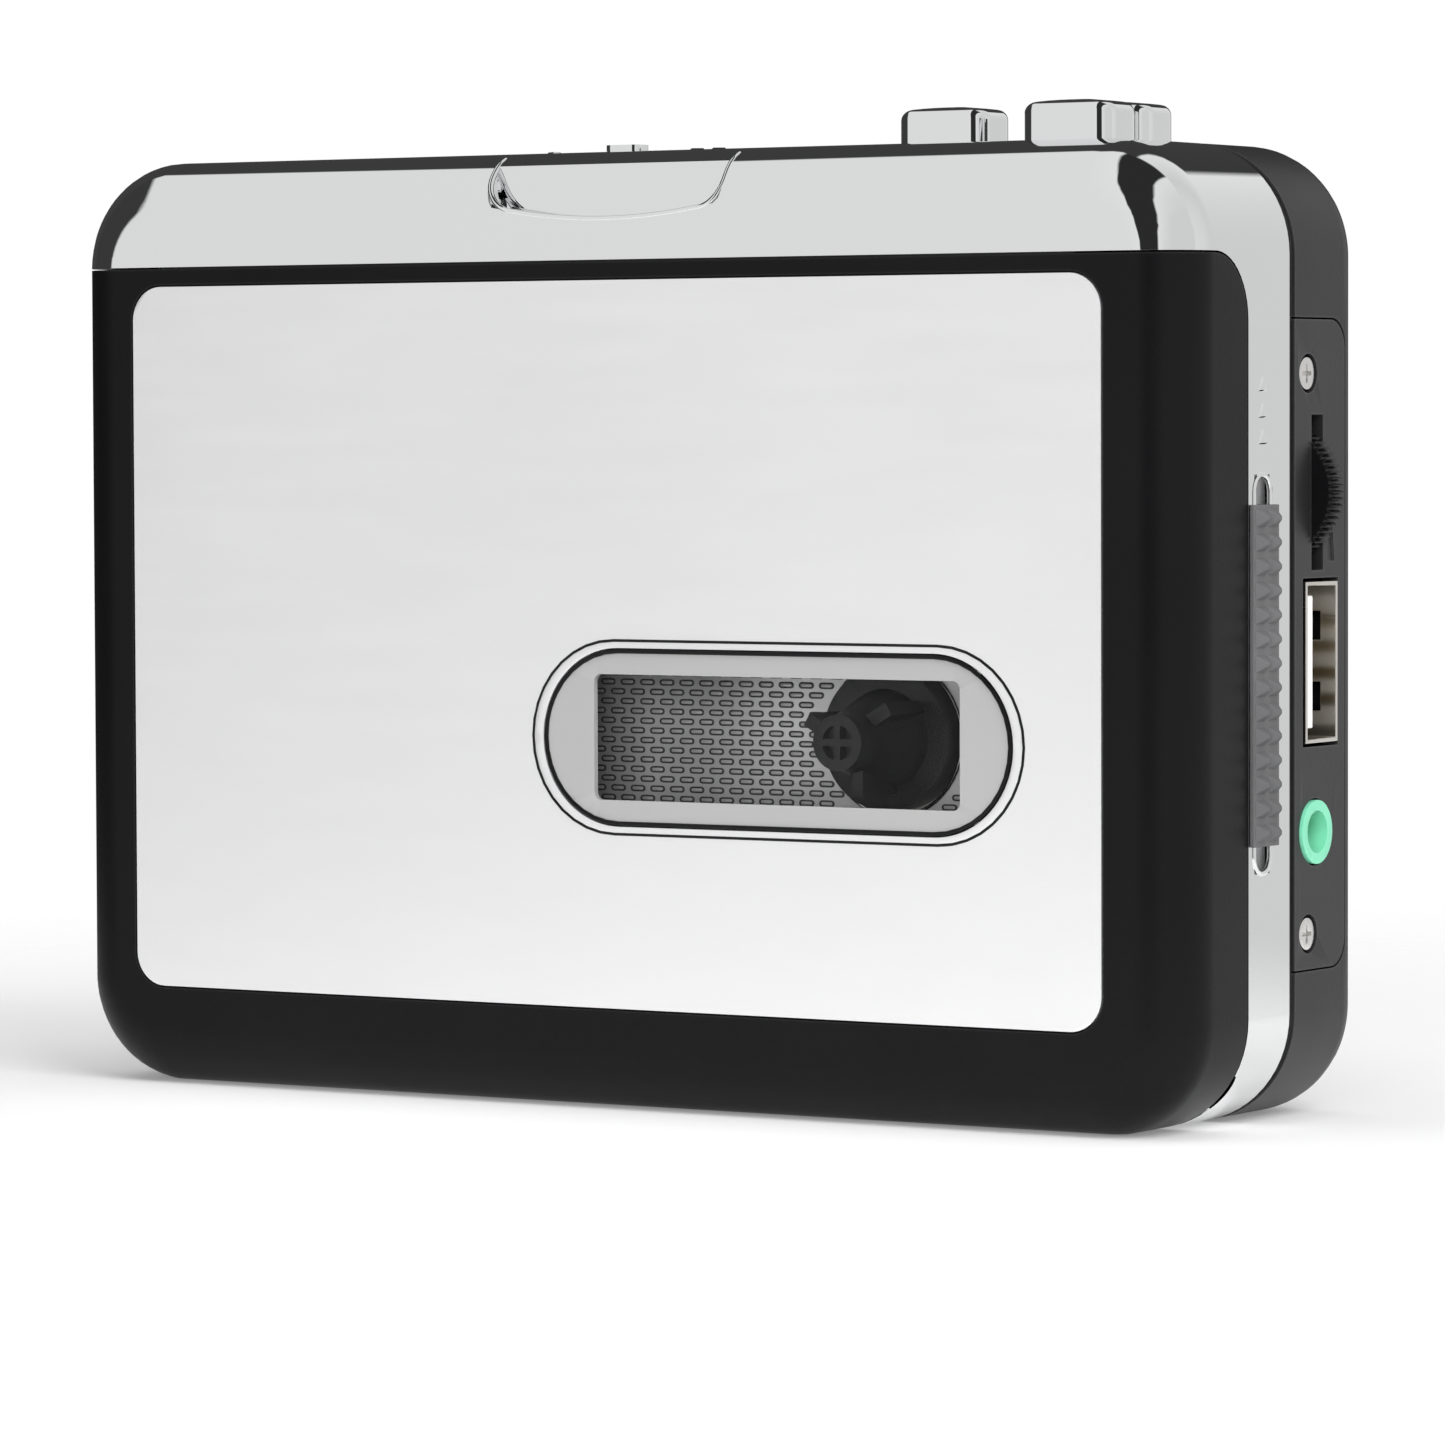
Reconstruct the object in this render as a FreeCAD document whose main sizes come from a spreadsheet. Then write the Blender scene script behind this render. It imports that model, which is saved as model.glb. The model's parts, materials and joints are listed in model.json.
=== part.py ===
import FreeCAD, Part
import math
import os
import re

import Sketcher

# A pocket cassette player, built in millimetres.
# Frame: +X to the right, +Y to the back, +Z up, seen from the door side.
# Origin: the middle of the case on the plane it stands on; the door's face is at y = body_front.

doc = FreeCAD.newDocument("CassettePlayer")

DIMENSIONS = {
    # the case
    "body_width": 114, "body_height": 82.5, "body_front": -16, "body_back": 16,
    "corner": 9.5, "front_round": 5, "back_round": 4, "wall": 1.6, "seam": 0.15, "gap": 0.3,
    "ring_front": -4.95, "ring_back": 2.3, "neck_front": 2.45, "neck_back": 3.3, "neck_inset": 0.4,
    "block_low": 73.1, "boss_side": 52.5, "boss_low": 9, "boss_high": 73.5, "boss_rad": 3,
    # the finger scoop over the door
    "scoop_side": 0.4, "scoop_half": 12, "scoop_low": 76.6, "scoop_floor": -14.2,
    "scoop_bow": 58, "scoop_corner": 2.8,
    # the door and its hinge
    "door_back": -5.1, "door_top": 72.95, "door_corner": 5.5, "door_lift": 0.15,
    "hinge_back": -7.2, "hinge_up": 4, "pin_rad": 0.6, "ear_gap": 48.05, "ear_wide": 1.5,
    "sweep_rad": 3.85, "relief_rad": 4.15, "relief_end": 50.8, "relief_tip": 2.6,
    "knuckle_rad": 1.9,
    "plate_left": -49.9, "plate_right": 49.2, "plate_low": 8.86, "plate_high": 71.36,
    "plate_corner": 3, "plate_thick": 0.6, "window_deep": 0.95, "lens_front": 0.75,
    "lens_side": 1.4, "lens_end": 1.1, "leaf_side": 32, "leaf_step": 3, "leaf_bow": 1.1,
    "leaf_thick": 0.3, "leaf_low": 46, "leaf_high": 51,
    "pill_left": -7, "pill_right": 42, "pill_low": 23.8, "pill_high": 40.6,
    "ring_wide": 1.15, "ring_tall": 0.75, "mask_gap": 0.4,
    "rail_side": 50.7, "rail_wide": 1.2, "rail_low": 12.5, "rail_high": 48,
    "view_left": -0.7, "view_right": 35.7, "view_low": 26.8, "view_high": 37.6, "view_corner": 0.7,
    # the cassette drive
    "reel_side": 21.25, "reel_up": 32, "capstan_side": -23.5, "capstan_up": 61,
    "gear_module": 0.5, "reel_teeth": 52, "idler_teeth": 26, "pinion_teeth": 12,
    "gear_front": -1.1, "gear_back": 0.5, "mesh_slack": 0.045, "post_rad": 0.8,
    "hub_rad": 2.5, "collar_rad": 6.2, "collar_front": -4, "cone_rad": 4.3, "tip_rad": 2.4,
    "tip_front": -11.8, "tip_back": -10.6, "tip_sink": 1.5, "cross_wide": 0.6, "axle_back": 2.8,
    "fin_reach": 4.7, "fin_front": -9.6, "fin_thick": 1.2,
    "shaft_front": -12.6, "shaft_back": 13.9, "bearing_rad": 2.45, "bearing_front": 0.7,
    "bearing_back": 9.8, "flange_thick": 1, "motor_shaft": 0.75,
    "well_front": -2.3, "well_back": -1.5, "well_side": 48, "well_low": 1.9, "well_high": 66,
    "chassis_front": 1.35, "chassis_back": 2.2, "chassis_side": 47, "chassis_high": 75.8,
    "chassis_low": 29.6, "chassis_step": 9, "chassis_foot": 14, "chassis_post": 1.5,
    "post_side": 44, "post_low": 36, "post_high": 63,
    "motor_side": 30, "motor_up": 57, "motor_rad": 11, "motor_long": 10,
    "flywheel_rad": 17, "pulley_rad": 2.9, "groove_deep": 0.7, "wheel_front": 10.4, "wheel_thick": 3,
    "belt_thick": 0.8, "shaft_rad": 1, "fit": 0.05,
    # head, pinch roller and keys
    "head_low": 67.3, "bridge_high": 76, "bridge_front": -1.3, "bridge_back": -0.5,
    "bridge_left": -16, "bridge_right": 38, "bridge_low": 71.5, "bracket_left": -8.6,
    "bracket_right": 10, "bracket_front": -3.6, "finger_left": 34.5, "finger_right": 37.4,
    "finger_low": 77.5, "finger_thick": 1.2, "head_half": 6, "head_front": -13.2,
    "head_high": 75.5, "head_bow": 9, "guide_left": 7, "guide_wide": 2.4,
    "head_screw_left": -7.4, "head_screw_right": 8.6, "head_screw_row": -2.5,
    "arm_front": -1.35, "arm_back": -0.6, "arm_post": 1.2, "arm_rad": 2.6,
    "roller_front": -11.6, "roller_back": -5.4,
    "arm_side": -38, "arm_up": 73, "roller_side": -22.34, "roller_up": 72.4, "roller_rad": 5,
    "key_wide": 8.6, "key_deep": 5.4, "key_corner": 1.4, "key_low": 79.4, "key_high": 85.9,
    "key_crown": 22, "key_flange": 0.6, "key_row": -1.3, "play_row": -8.3,
    "play_side": 42.9, "forward_side": 26.75, "stop_side": 42.55,
    "stem_half": 1.5, "stem_front": 0.05, "stem_back": 1.15, "stem_low": 71.5, "flange_tall": 1.2,
    "slider_row": -8.6, "slider_web": -6,
    "cover_low": 73.25, "cover_high": 74.2, "cover_side": 49.2, "cover_back": -1.5,
    "bay_left": -45, "bay_right": 13, "wire": 0.35, "coil_rad": 1.05, "spring_back": 2.05,
    "stop_low": 68,
    "nub_side": -2, "nub_row": -8.3, "nub_half": 1.8, "nub_deep": 1.1, "nub_high": 0.65,
    "nub_rad": 1.7, "nub_flange": 2.7, "nub_foot": 79.6,
    # side controls and sockets
    "panel_front": 3.35, "panel_back": 12.4, "panel_low": 12.95, "panel_high": 67.65,
    "panel_face": 56.95, "panel_thick": 1.5, "panel_corner": 2.5,
    "panel_sink": 0.95, "panel_sink_rad": 1.65, "wheel_slot": 6.55, "mark_front": 9.2,
    "mark_wide": 1.4, "mark_low": 47.3, "mark_high": 56.5, "mark_deep": 0.2,
    "boss_in": 50, "panel_boss_rad": 1.9, "pilot_rad": 0.85, "sink_rad": 2.2, "sink_floor": 13.2,
    "screw_row": 5.8, "screw_high": 63.1, "screw_low": 15.95,
    "slider_front": -4.85, "slider_back": -0.35, "slider_low": 23.8, "slider_high": 52.2,
    "catch_side": 54, "catch_front": -6.3, "catch_back": -5.3, "catch_low": 53, "catch_high": 55.3,
    "latch_in": 53.2, "latch_thick": 1.2, "latch_wide": 4, "latch_row": -2.6, "grip_inset": 1.2,
    "slot_low": 21.5, "slot_high": 54.7, "slider_ribs": 14, "pad_thick": 0.85, "rib_tall": 0.6,
    "wheel_side": 53, "wheel_up": 53.1, "wheel_rad": 6, "wheel_row": 7.42, "wheel_wide": 1.95,
    "knurl_teeth": 64, "pot_front": 8.75, "pot_back": 11.2, "pot_half": 4.5,
    "usb_front": 5.1, "usb_back": 10.9, "usb_low": 32, "usb_high": 45.6, "usb_deep": 43,
    "usb_gauge": 0.35, "usb_lip": 0.1, "latch_gap": 1.8, "latch_tall": 2.4, "latch_far": 55.6,
    "latch_near": 51, "tongue_front": 0.6, "tongue_thick": 1.9, "tongue_end": 56.4,
    "tongue_inset": 1.2, "contact_pitch": 2.25, "contact_wide": 1, "contact_thick": 0.15,
    "jack_row": 7, "jack_up": 24.5, "jack_rad": 2.7, "jack_bore": 1.8, "jack_face": 57.2,
    "jack_barrel": 2.4, "jack_end": 47, "jack_stop": 47.5, "jack_half": 3.4,
    "board_front": 11.4, "board_back": 12.6, "board_left": 10, "board_right": 49.2,
    "board_low": 13, "board_high": 45, "board_neck": 43.5, "board_top": 60,
    "capacitor_rad": 2.5, "capacitor_tall": 5,
    # batteries
    "cell_rad": 7.05, "cell_row": 7.9, "cell_low": 10.6, "cell_high": 25.2,
    "cell_left": -44.3, "cell_right": 5.2, "hatch_left": -46.5, "hatch_right": 6.5,
    "hatch_high": 32.4, "hatch_front": 11.5, "cell_wall": 1.3, "cell_wall_high": 29,
    "stud_rad": 2.7, "stud_long": 1, "contact_half": 5, "contact_front": 4, "contact_back": 12.5,
    "leaf_gauge": 0.4, "spring_long": 1.45, "grip_count": 6, "grip_side": -20, "grip_half": 7,
    "grip_low": 19, "grip_pitch": 1.6, "grip_deep": 0.35,
}

sheet = doc.addObject("Spreadsheet::Sheet", "Dims")
for row, (alias, number) in enumerate(DIMENSIONS.items(), 1):
    sheet.set(f"A{row}", alias)
    sheet.set(f"B{row}", str(number))
    sheet.setAlias(f"B{row}", alias)
doc.recompute()

NODES = []


# ---- expressions ---------------------------------------------------------------------------

def bound(text):
    """An expression in which every word is a cell of the sheet."""
    return re.sub(r"[a-z]+(_[a-z]+)*", r"Dims.\g<0>", text)


def value(text):
    """The number that an expression gives now."""
    return float(sheet.evalExpression(bound(text)))


def bind(feature, prop, text):
    feature.setExpression(prop, bound(text))


def node(label, feature):
    """Marks a feature as a finished sub-part."""
    feature.Label = label
    NODES.append(feature)
    return feature


# ---- sketches ------------------------------------------------------------------------------

def hold(sketch, kind, where, text):
    """Adds one dimension to a sketch and binds it to the sheet."""
    index = sketch.addConstraint(Sketcher.Constraint(kind, *where, value(text)))
    sketch.renameConstraint(index, f"size{index}")
    bind(sketch, f"Constraints.size{index}", text)


def arc(centre_x, centre_y, radius, first, last):
    circle = Part.Circle(FreeCAD.Vector(centre_x, centre_y, 0), FreeCAD.Vector(0, 0, 1), radius)
    return Part.ArcOfCircle(circle, math.radians(first), math.radians(last))


def line(x0, y0, x1, y1):
    return Part.LineSegment(FreeCAD.Vector(x0, y0, 0), FreeCAD.Vector(x1, y1, 0))


def chain(sketch, curves):
    """Adds curves in order and makes each one tangent to the next."""
    ids = [sketch.addGeometry(curve) for curve in curves]
    for first, second in zip(ids, ids[1:] + ids[:1]):
        sketch.addConstraint(Sketcher.Constraint("Tangent", first, 2, second, 1))
    return ids


def rounded(left, right, low, high, radius):
    """Draws a rectangle with four equal round corners."""
    def draw(sketch):
        x0, x1, y0, y1, r = (value(text) for text in (left, right, low, high, radius))
        sides = chain(sketch, [
            line(x0 + r, y0, x1 - r, y0), arc(x1 - r, y0 + r, r, 270, 360),
            line(x1, y0 + r, x1, y1 - r), arc(x1 - r, y1 - r, r, 0, 90),
            line(x1 - r, y1, x0 + r, y1), arc(x0 + r, y1 - r, r, 90, 180),
            line(x0, y1 - r, x0, y0 + r), arc(x0 + r, y0 + r, r, 180, 270)])
        bottom, first_arc, right_side, _, top, _, left_side, _ = sides
        for flat in (bottom, top):
            sketch.addConstraint(Sketcher.Constraint("Horizontal", flat))
        for upright in (left_side, right_side):
            sketch.addConstraint(Sketcher.Constraint("Vertical", upright))
        for corner in sides[3::2]:
            sketch.addConstraint(Sketcher.Constraint("Equal", first_arc, corner))
        hold(sketch, "DistanceX", (-1, 1, left_side, 1), left)
        hold(sketch, "DistanceX", (-1, 1, right_side, 1), right)
        hold(sketch, "DistanceY", (-1, 1, bottom, 1), low)
        hold(sketch, "DistanceY", (-1, 1, top, 1), high)
        hold(sketch, "Radius", (first_arc,), radius)
    return draw


def pill(left, right, low, high):
    """Draws a level slot with half-round ends."""
    def draw(sketch):
        x0, x1, y0, y1 = (value(text) for text in (left, right, low, high))
        r = (y1 - y0) / 2
        bottom, right_end, top, _ = chain(sketch, [
            line(x0 + r, y0, x1 - r, y0), arc(x1 - r, y0 + r, r, 270, 450),
            line(x1 - r, y1, x0 + r, y1), arc(x0 + r, y0 + r, r, 90, 270)])
        sketch.addConstraint(Sketcher.Constraint("Horizontal", bottom))
        half = f"(({high}) - ({low})) / 2"
        hold(sketch, "DistanceX", (-1, 1, bottom, 1), f"{left} + {half}")
        hold(sketch, "DistanceX", (-1, 1, bottom, 2), f"{right} - {half}")
        hold(sketch, "DistanceY", (-1, 1, bottom, 1), low)
        hold(sketch, "Radius", (right_end,), half)
    return draw


def polygon(points):
    """Draws a closed outline through corner points."""
    def draw(sketch):
        spots = [(value(x), value(y)) for x, y in points]
        ids = [sketch.addGeometry(line(*start, *end))
               for start, end in zip(spots, spots[1:] + spots[:1])]
        for first, second in zip(ids, ids[1:] + ids[:1]):
            sketch.addConstraint(Sketcher.Constraint("Coincident", first, 2, second, 1))
        for side, (x, y) in zip(ids, points):
            hold(sketch, "DistanceX", (-1, 1, side, 1), x)
            hold(sketch, "DistanceY", (-1, 1, side, 1), y)
    return draw


def extrude(kind, part, plane, start, end, draw):
    """A pad or pocket between two levels along the axis of one of the part's own planes."""
    backwards = plane == "XZ_Plane"  # this plane's normal is -Y
    sketch = part.newObject("Sketcher::SketchObject", part.Name + "Sketch")
    support = next(f for f in part.Origin.OriginFeatures if f.Role == plane)
    sketch.AttachmentSupport = (support, [""])
    sketch.MapMode = "FlatFace"
    bind(sketch, "AttachmentOffset.Base.z", f"-1 * ({start})" if backwards else start)
    draw(sketch)
    before = part.Shape.Volume if kind == "Pocket" else 0
    feature = part.newObject("PartDesign::" + kind, part.Name + kind)
    feature.Profile = sketch
    feature.Reversed = backwards if kind == "Pad" else not backwards
    bind(feature, "Length", f"({end}) - ({start})")
    doc.recompute()
    if kind == "Pocket" and part.Shape.Volume >= before:
        raise RuntimeError(f"{feature.Name} cuts nothing")
    return feature


def prism(name, plane, start, end, draw):
    """A body made of one pad."""
    part = doc.addObject("PartDesign::Body", name)
    extrude("Pad", part, plane, start, end, draw)
    return part


def fillet(part, radius, level):
    """Rounds every edge of the body that lies wholly at one level of Y."""
    edges = [f"Edge{number}" for number, edge in enumerate(part.Shape.Edges, 1)
             if all(abs(vertex.Point.y - value(level)) < 1e-6 for vertex in edge.Vertexes)]
    base = part.Tip
    feature = part.newObject("PartDesign::Fillet", part.Name + "Fillet")
    feature.Base = (base, edges)
    bind(feature, "Radius", radius)
    doc.recompute()


# ---- primitives and booleans ---------------------------------------------------------------

def box(name, x0, x1, y0, y1, z0, z1):
    feature = doc.addObject("Part::Box", name)
    for size, axis, low, high in (("Length", "x", x0, x1), ("Width", "y", y0, y1),
                                  ("Height", "z", z0, z1)):
        bind(feature, size, f"({high}) - ({low})")
        bind(feature, f"Placement.Base.{axis}", low)
    return feature


TURNS = {"x": FreeCAD.Rotation(FreeCAD.Vector(0, 1, 0), 90),
         "y": FreeCAD.Rotation(FreeCAD.Vector(1, 0, 0), -90),
         "z": FreeCAD.Rotation()}


def seat(feature, axis, first, second, start):
    """Places a primitive on a line along one axis, given the other two coordinates in order."""
    feature.Placement = FreeCAD.Placement(FreeCAD.Vector(), TURNS[axis])
    across = [name for name in "xyz" if name != axis]
    for name, text in zip(across + [axis], (first, second, start)):
        bind(feature, f"Placement.Base.{name}", text)


def rod(name, axis, first, second, radius, start, end):
    feature = doc.addObject("Part::Cylinder", name)
    bind(feature, "Radius", radius)
    bind(feature, "Height", f"({end}) - ({start})")
    seat(feature, axis, first, second, start)
    return feature


def cone(name, axis, first, second, start_rad, end_rad, start, end):
    feature = doc.addObject("Part::Cone", name)
    bind(feature, "Radius1", start_rad)
    bind(feature, "Radius2", end_rad)
    bind(feature, "Height", f"({end}) - ({start})")
    seat(feature, axis, first, second, start)
    return feature


def fuse(name, parts):
    feature = doc.addObject("Part::MultiFuse", name)
    feature.Shapes = parts
    return feature


def common(name, parts):
    feature = doc.addObject("Part::MultiCommon", name)
    feature.Shapes = parts
    return feature


def cut(name, base, tools):
    feature = doc.addObject("Part::Cut", name)
    feature.Base = base
    feature.Tool = tools[0] if len(tools) == 1 else fuse(name + "Tools", tools)
    return feature


def group(name, parts):
    feature = doc.addObject("Part::Compound", name)
    feature.Links = parts
    return feature


def both_sides(build):
    """Calls a builder for the left and for the right, with a sign and a name ending."""
    return [build(sign, ending) for sign, ending in (("-1", "Left"), ("1", "Right"))]


def side_box(name, sign, inner, outer, y0, y1, z0, z1):
    """A box between two distances from the middle plane, on the left or on the right."""
    near, far = f"{sign} * ({inner})", f"{sign} * ({outer})"
    low, high = (far, near) if sign == "-1" else (near, far)
    return box(name, low, high, y0, y1, z0, z1)


def side_rod(name, sign, inner, outer, row, up, radius):
    near, far = f"{sign} * ({inner})", f"{sign} * ({outer})"
    low, high = (far, near) if sign == "-1" else (near, far)
    return rod(name, "x", row, up, radius, low, high)


# ---- case ----------------------------------------------------------------------------------

def case_outline(inset):
    return rounded(f"-body_width / 2 + {inset}", f"body_width / 2 - ({inset})", inset,
                   f"body_height - ({inset})", f"corner - ({inset})")


def front_shell():
    """The whole front half as one dish; the chrome frame and the door are cut from it."""
    part = prism("FrontShell", "XZ_Plane", "body_front", "ring_back", case_outline("0"))
    fillet(part, "front_round", "body_front")
    extrude("Pocket", part, "XZ_Plane", "body_front + wall", "ring_back", case_outline("wall"))
    fillet(part, "front_round - wall", "body_front + wall")
    return part


def rear_dish():
    """The whole rear half as one dish with a recessed neck behind the chrome ring."""
    part = prism("RearDish", "XZ_Plane", "neck_back", "body_back", case_outline("0"))
    fillet(part, "back_round", "body_back")
    extrude("Pad", part, "XZ_Plane", "neck_front", "neck_back", case_outline("neck_inset"))
    extrude("Pocket", part, "XZ_Plane", "neck_front", "body_back - wall", case_outline("wall"))
    fillet(part, "back_round - wall", "body_back - wall")
    return part


def door_space(name, back, top, radius):
    """The block of space in front of the ring and below the fixed upper part."""
    outline = rounded("body_front - 2 * corner", back, "-2 * corner", top, radius)
    return prism(name, "YZ_Plane", "-body_width", "body_width", outline)


def key_hole(name, side, row):
    half_wide, half_deep = "(key_wide / 2 + gap)", "(key_deep / 2 + gap)"
    outline = rounded(f"{side} - {half_wide}", f"{side} + {half_wide}", f"{row} - {half_deep}",
                      f"{row} + {half_deep}", "key_corner + gap")
    return prism(name, "XY_Plane", "body_height - 2 * wall", "body_height + wall", outline)


def boss_places():
    return [(f"{sign} * boss_side", up, ending + name)
            for sign, ending in (("-1", "Left"), ("1", "Right"))
            for up, name in (("boss_low", "Low"), ("boss_high", "High"))]


def scoop():
    """The D-shaped finger recess: a round-cornered block under one long bowed edge."""
    block = prism("ScoopBlock", "XZ_Plane", "body_front - wall", "scoop_floor",
                  rounded("scoop_side - scoop_half", "scoop_side + scoop_half", "scoop_low",
                          "body_height + corner", "scoop_corner"))
    bow = rod("ScoopBow", "y", "scoop_side", "scoop_low + scoop_bow", "scoop_bow",
              "body_front - wall", "scoop_floor")
    return common("Scoop", [block, bow])


def chrome_frame(shell):
    space = door_space("FrameSpace", "ring_front", "block_low", "door_corner + seam")
    ring = cut("FrameRing", shell, [space])
    block = prism("CaseBlock", "XZ_Plane", "body_front", "ring_back", case_outline("0"))
    fillet(block, "front_round", "body_front")
    backing = common("ScoopBacking", [block, box(
        "BackingBox", "scoop_side - scoop_half - wall", "scoop_side + scoop_half + wall",
        "body_front + wall - seam", "scoop_floor + wall", "scoop_low - wall / 2",
        "body_height - wall / 2")])
    hinge = ("hinge_back", "hinge_up")
    relief = [rod("HingeRelief", "x", *hinge, "relief_rad", "-1 * relief_end", "relief_end"),
              cone("ReliefLeft", "x", *hinge, "relief_tip", "relief_rad",
                   "-1 * (body_width / 2 - wall + gap)", "-1 * relief_end"),
              cone("ReliefRight", "x", *hinge, "relief_rad", "relief_tip", "relief_end",
                   "body_width / 2 - wall + gap")]
    hollowed = cut("FrameRelieved", fuse("FrameBacked", [ring, backing]), relief)

    def ear(sign, ending):
        """A hinge knuckle on an arm from the ring's floor."""
        arm = side_box("EarArm" + ending, sign, "ear_gap + seam", "ear_gap + seam + ear_wide",
                       "hinge_back", "wall", "hinge_up - ear_wide", "hinge_up + ear_wide")
        knuckle = side_rod("EarKnuckle" + ending, sign, "ear_gap + seam",
                           "ear_gap + seam + ear_wide", "hinge_back", "hinge_up", "ear_wide")
        foot = side_box("EarFoot" + ending, sign, "ear_gap + seam", "ear_gap + seam + ear_wide",
                        "-1 * ear_wide - seam", "wall", "wall / 2", "hinge_up")
        return fuse("Ear" + ending, [arm, knuckle, foot])

    bosses = [rod("FrameBoss" + name, "y", side, up, "boss_rad", "ring_front + seam", "ring_back")
              for side, up, name in boss_places()]
    spring_stop = box("SpringStop", "body_width / 2 - wall - boss_rad", "body_width / 2 - wall / 2",
                      "ring_front + gap", "-1 * wall / 2", "stop_low", "stop_low + wall")
    solid = fuse("FrameSolid", [hollowed] + both_sides(ear) + bosses + [spring_stop])
    pin_holes = both_sides(lambda sign, ending: side_rod(
        "PinHole" + ending, sign, "ear_gap", "ear_gap + 2 * ear_wide", "hinge_back", "hinge_up",
        "pin_rad + fit"))
    screw_holes = [rod("FrameHole" + name, "y", side, up, "shaft_rad + fit",
                       "ring_front + wall", "ring_back + wall") for side, up, name in boss_places()]
    slot = box("SliderSlot", "body_width / 2 - 2 * wall", "body_width / 2 + wall",
               "slider_front + grip_inset - gap", "slider_back - grip_inset + gap", "slot_low",
               "slot_high")
    nub_hole = rod("NubHole", "z", "nub_side", "nub_row", "nub_rad + gap", "body_height - 2 * wall",
                   "body_height + wall")
    holes = [key_hole("PlayHole", "play_side", "play_row"),
             key_hole("ForwardHole", "forward_side", "key_row"),
             key_hole("StopHole", "stop_side", "key_row")]
    node("chrome_frame", cut("ChromeFrame", solid,
                             pin_holes + screw_holes + [slot, nub_hole, scoop()] + holes))


def hatch_box(name, grow):
    return box(name, f"hatch_left - {grow}", f"hatch_right + {grow}", f"hatch_front - {grow}",
               "body_back + wall", "-1 * wall", f"hatch_high + {grow}")


def rear_shell(dish):
    panel_seat = "panel_face - panel_thick - fit"
    opening = panel_outline("PanelOpening", "seam", "panel_face - 3 * panel_thick", "body_width")
    open_dish = cut("OpenDish", dish, [opening])
    posts = [rod("RearPost" + name, "y", side, up, "boss_rad", "neck_front", "body_back - wall / 2")
             for side, up, name in boss_places()]
    panel_screws = (("screw_low", "Low"), ("screw_high", "High"))
    panel_bosses = []
    for up, name in panel_screws:
        panel_bosses.append(rod("PanelBoss" + name, "x", "screw_row", up, "panel_boss_rad",
                                "boss_in", panel_seat))
        panel_bosses.append(box("PanelRib" + name, "boss_in", panel_seat, "screw_row",
                                "body_back - wall / 2", f"{up} - wall / 2", f"{up} + wall / 2"))
    ends = [box("CellWallLeft", "hatch_left - gap - cell_wall", "hatch_left - gap", "neck_front",
                "body_back - wall / 2", "wall / 2", "cell_wall_high"),
            box("CellWallRight", "hatch_right + gap", "hatch_right + gap + cell_wall", "neck_front",
                "body_back - wall / 2", "wall / 2", "cell_wall_high")]
    solid = fuse("RearSolid", [open_dish] + posts + panel_bosses + ends)
    screw_holes = [rod("RearHole" + name, "y", side, up, "shaft_rad + fit", "0", "body_back + wall")
                   for side, up, name in boss_places()]
    heads = [rod("HeadSink" + name, "y", side, up, "sink_rad", "sink_floor", "body_back + wall")
             for side, up, name in boss_places()]
    panel_holes = [rod("PanelPilot" + name, "x", "screw_row", up, "pilot_rad", "boss_in - wall",
                       "body_width") for up, name in panel_screws]
    node("rear_shell", cut("RearShell", solid, screw_holes + heads + panel_holes
                           + [hatch_box("HatchOpening", "seam")]))


def battery_cover(dish):
    """The hatch over the cells, hollowed round them, with finger grooves across its back."""
    piece = common("CoverBlank", [dish, hatch_box("HatchBlock", "0")])
    hollows = [rod("CoverGroove" + name, "x", "cell_row", up, "cell_rad + 2 * fit", "-body_width",
                   "body_width") for up, name in (("cell_low", "Low"), ("cell_high", "High"))]
    grips = []
    for number in range(int(value("grip_count"))):
        low = f"grip_low + {number} * grip_pitch"
        grips.append(box(f"CoverGrip{number}", "grip_side - grip_half", "grip_side + grip_half",
                         "body_back - grip_deep", "body_back + wall", low,
                         f"{low} + grip_pitch / 2"))
    node("battery_cover", cut("BatteryCover", piece, hollows + grips))


def panel_outline(name, grow, start, end):
    """The side panel's shape: square at the chrome ring, round at the back."""
    blank = prism(name + "Blank", "YZ_Plane", start, end,
                  rounded("neck_front - panel_corner", f"panel_back + {grow}",
                          f"panel_low - {grow}", f"panel_high + {grow}", "panel_corner"))
    limit = box(name + "Limit", "0", "body_width", f"panel_front - {grow} / 3", "body_back",
                "0", "body_height")
    return common(name, [blank, limit])


def side_panel():
    blank = panel_outline("PanelSolid", "0", "panel_face - panel_thick", "panel_face")
    through = ("boss_in", "body_width")
    tools = []
    for up, name in (("screw_low", "Low"), ("screw_high", "High")):
        tools.append(rod("PanelHole" + name, "x", "screw_row", up, "pilot_rad + 2 * fit", *through))
        tools.append(rod("PanelSink" + name, "x", "screw_row", up, "panel_sink_rad",
                         "panel_face - panel_sink", "body_width"))
    tools.append(box("WheelSlot", *through, "wheel_row - wheel_wide / 2 - 2 * fit",
                     "wheel_row + wheel_wide / 2 + 2 * fit", "wheel_up - wheel_slot",
                     "wheel_up + wheel_slot"))
    tools.append(box("UsbCut", *through, "usb_front - gap", "usb_back + gap", "usb_low - gap",
                     "usb_high + gap"))
    tools.append(rod("JackCut", "x", "jack_row", "jack_up", "jack_rad + seam", *through))
    tools.append(prism("VolumeMark", "YZ_Plane", "panel_face - mark_deep", "panel_face + wall",
                       polygon([("mark_front", "mark_high"), ("mark_front", "mark_low"),
                                ("mark_front + mark_wide", "mark_low")])))
    node("side_panel", cut("SidePanel", blank, tools))


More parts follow.
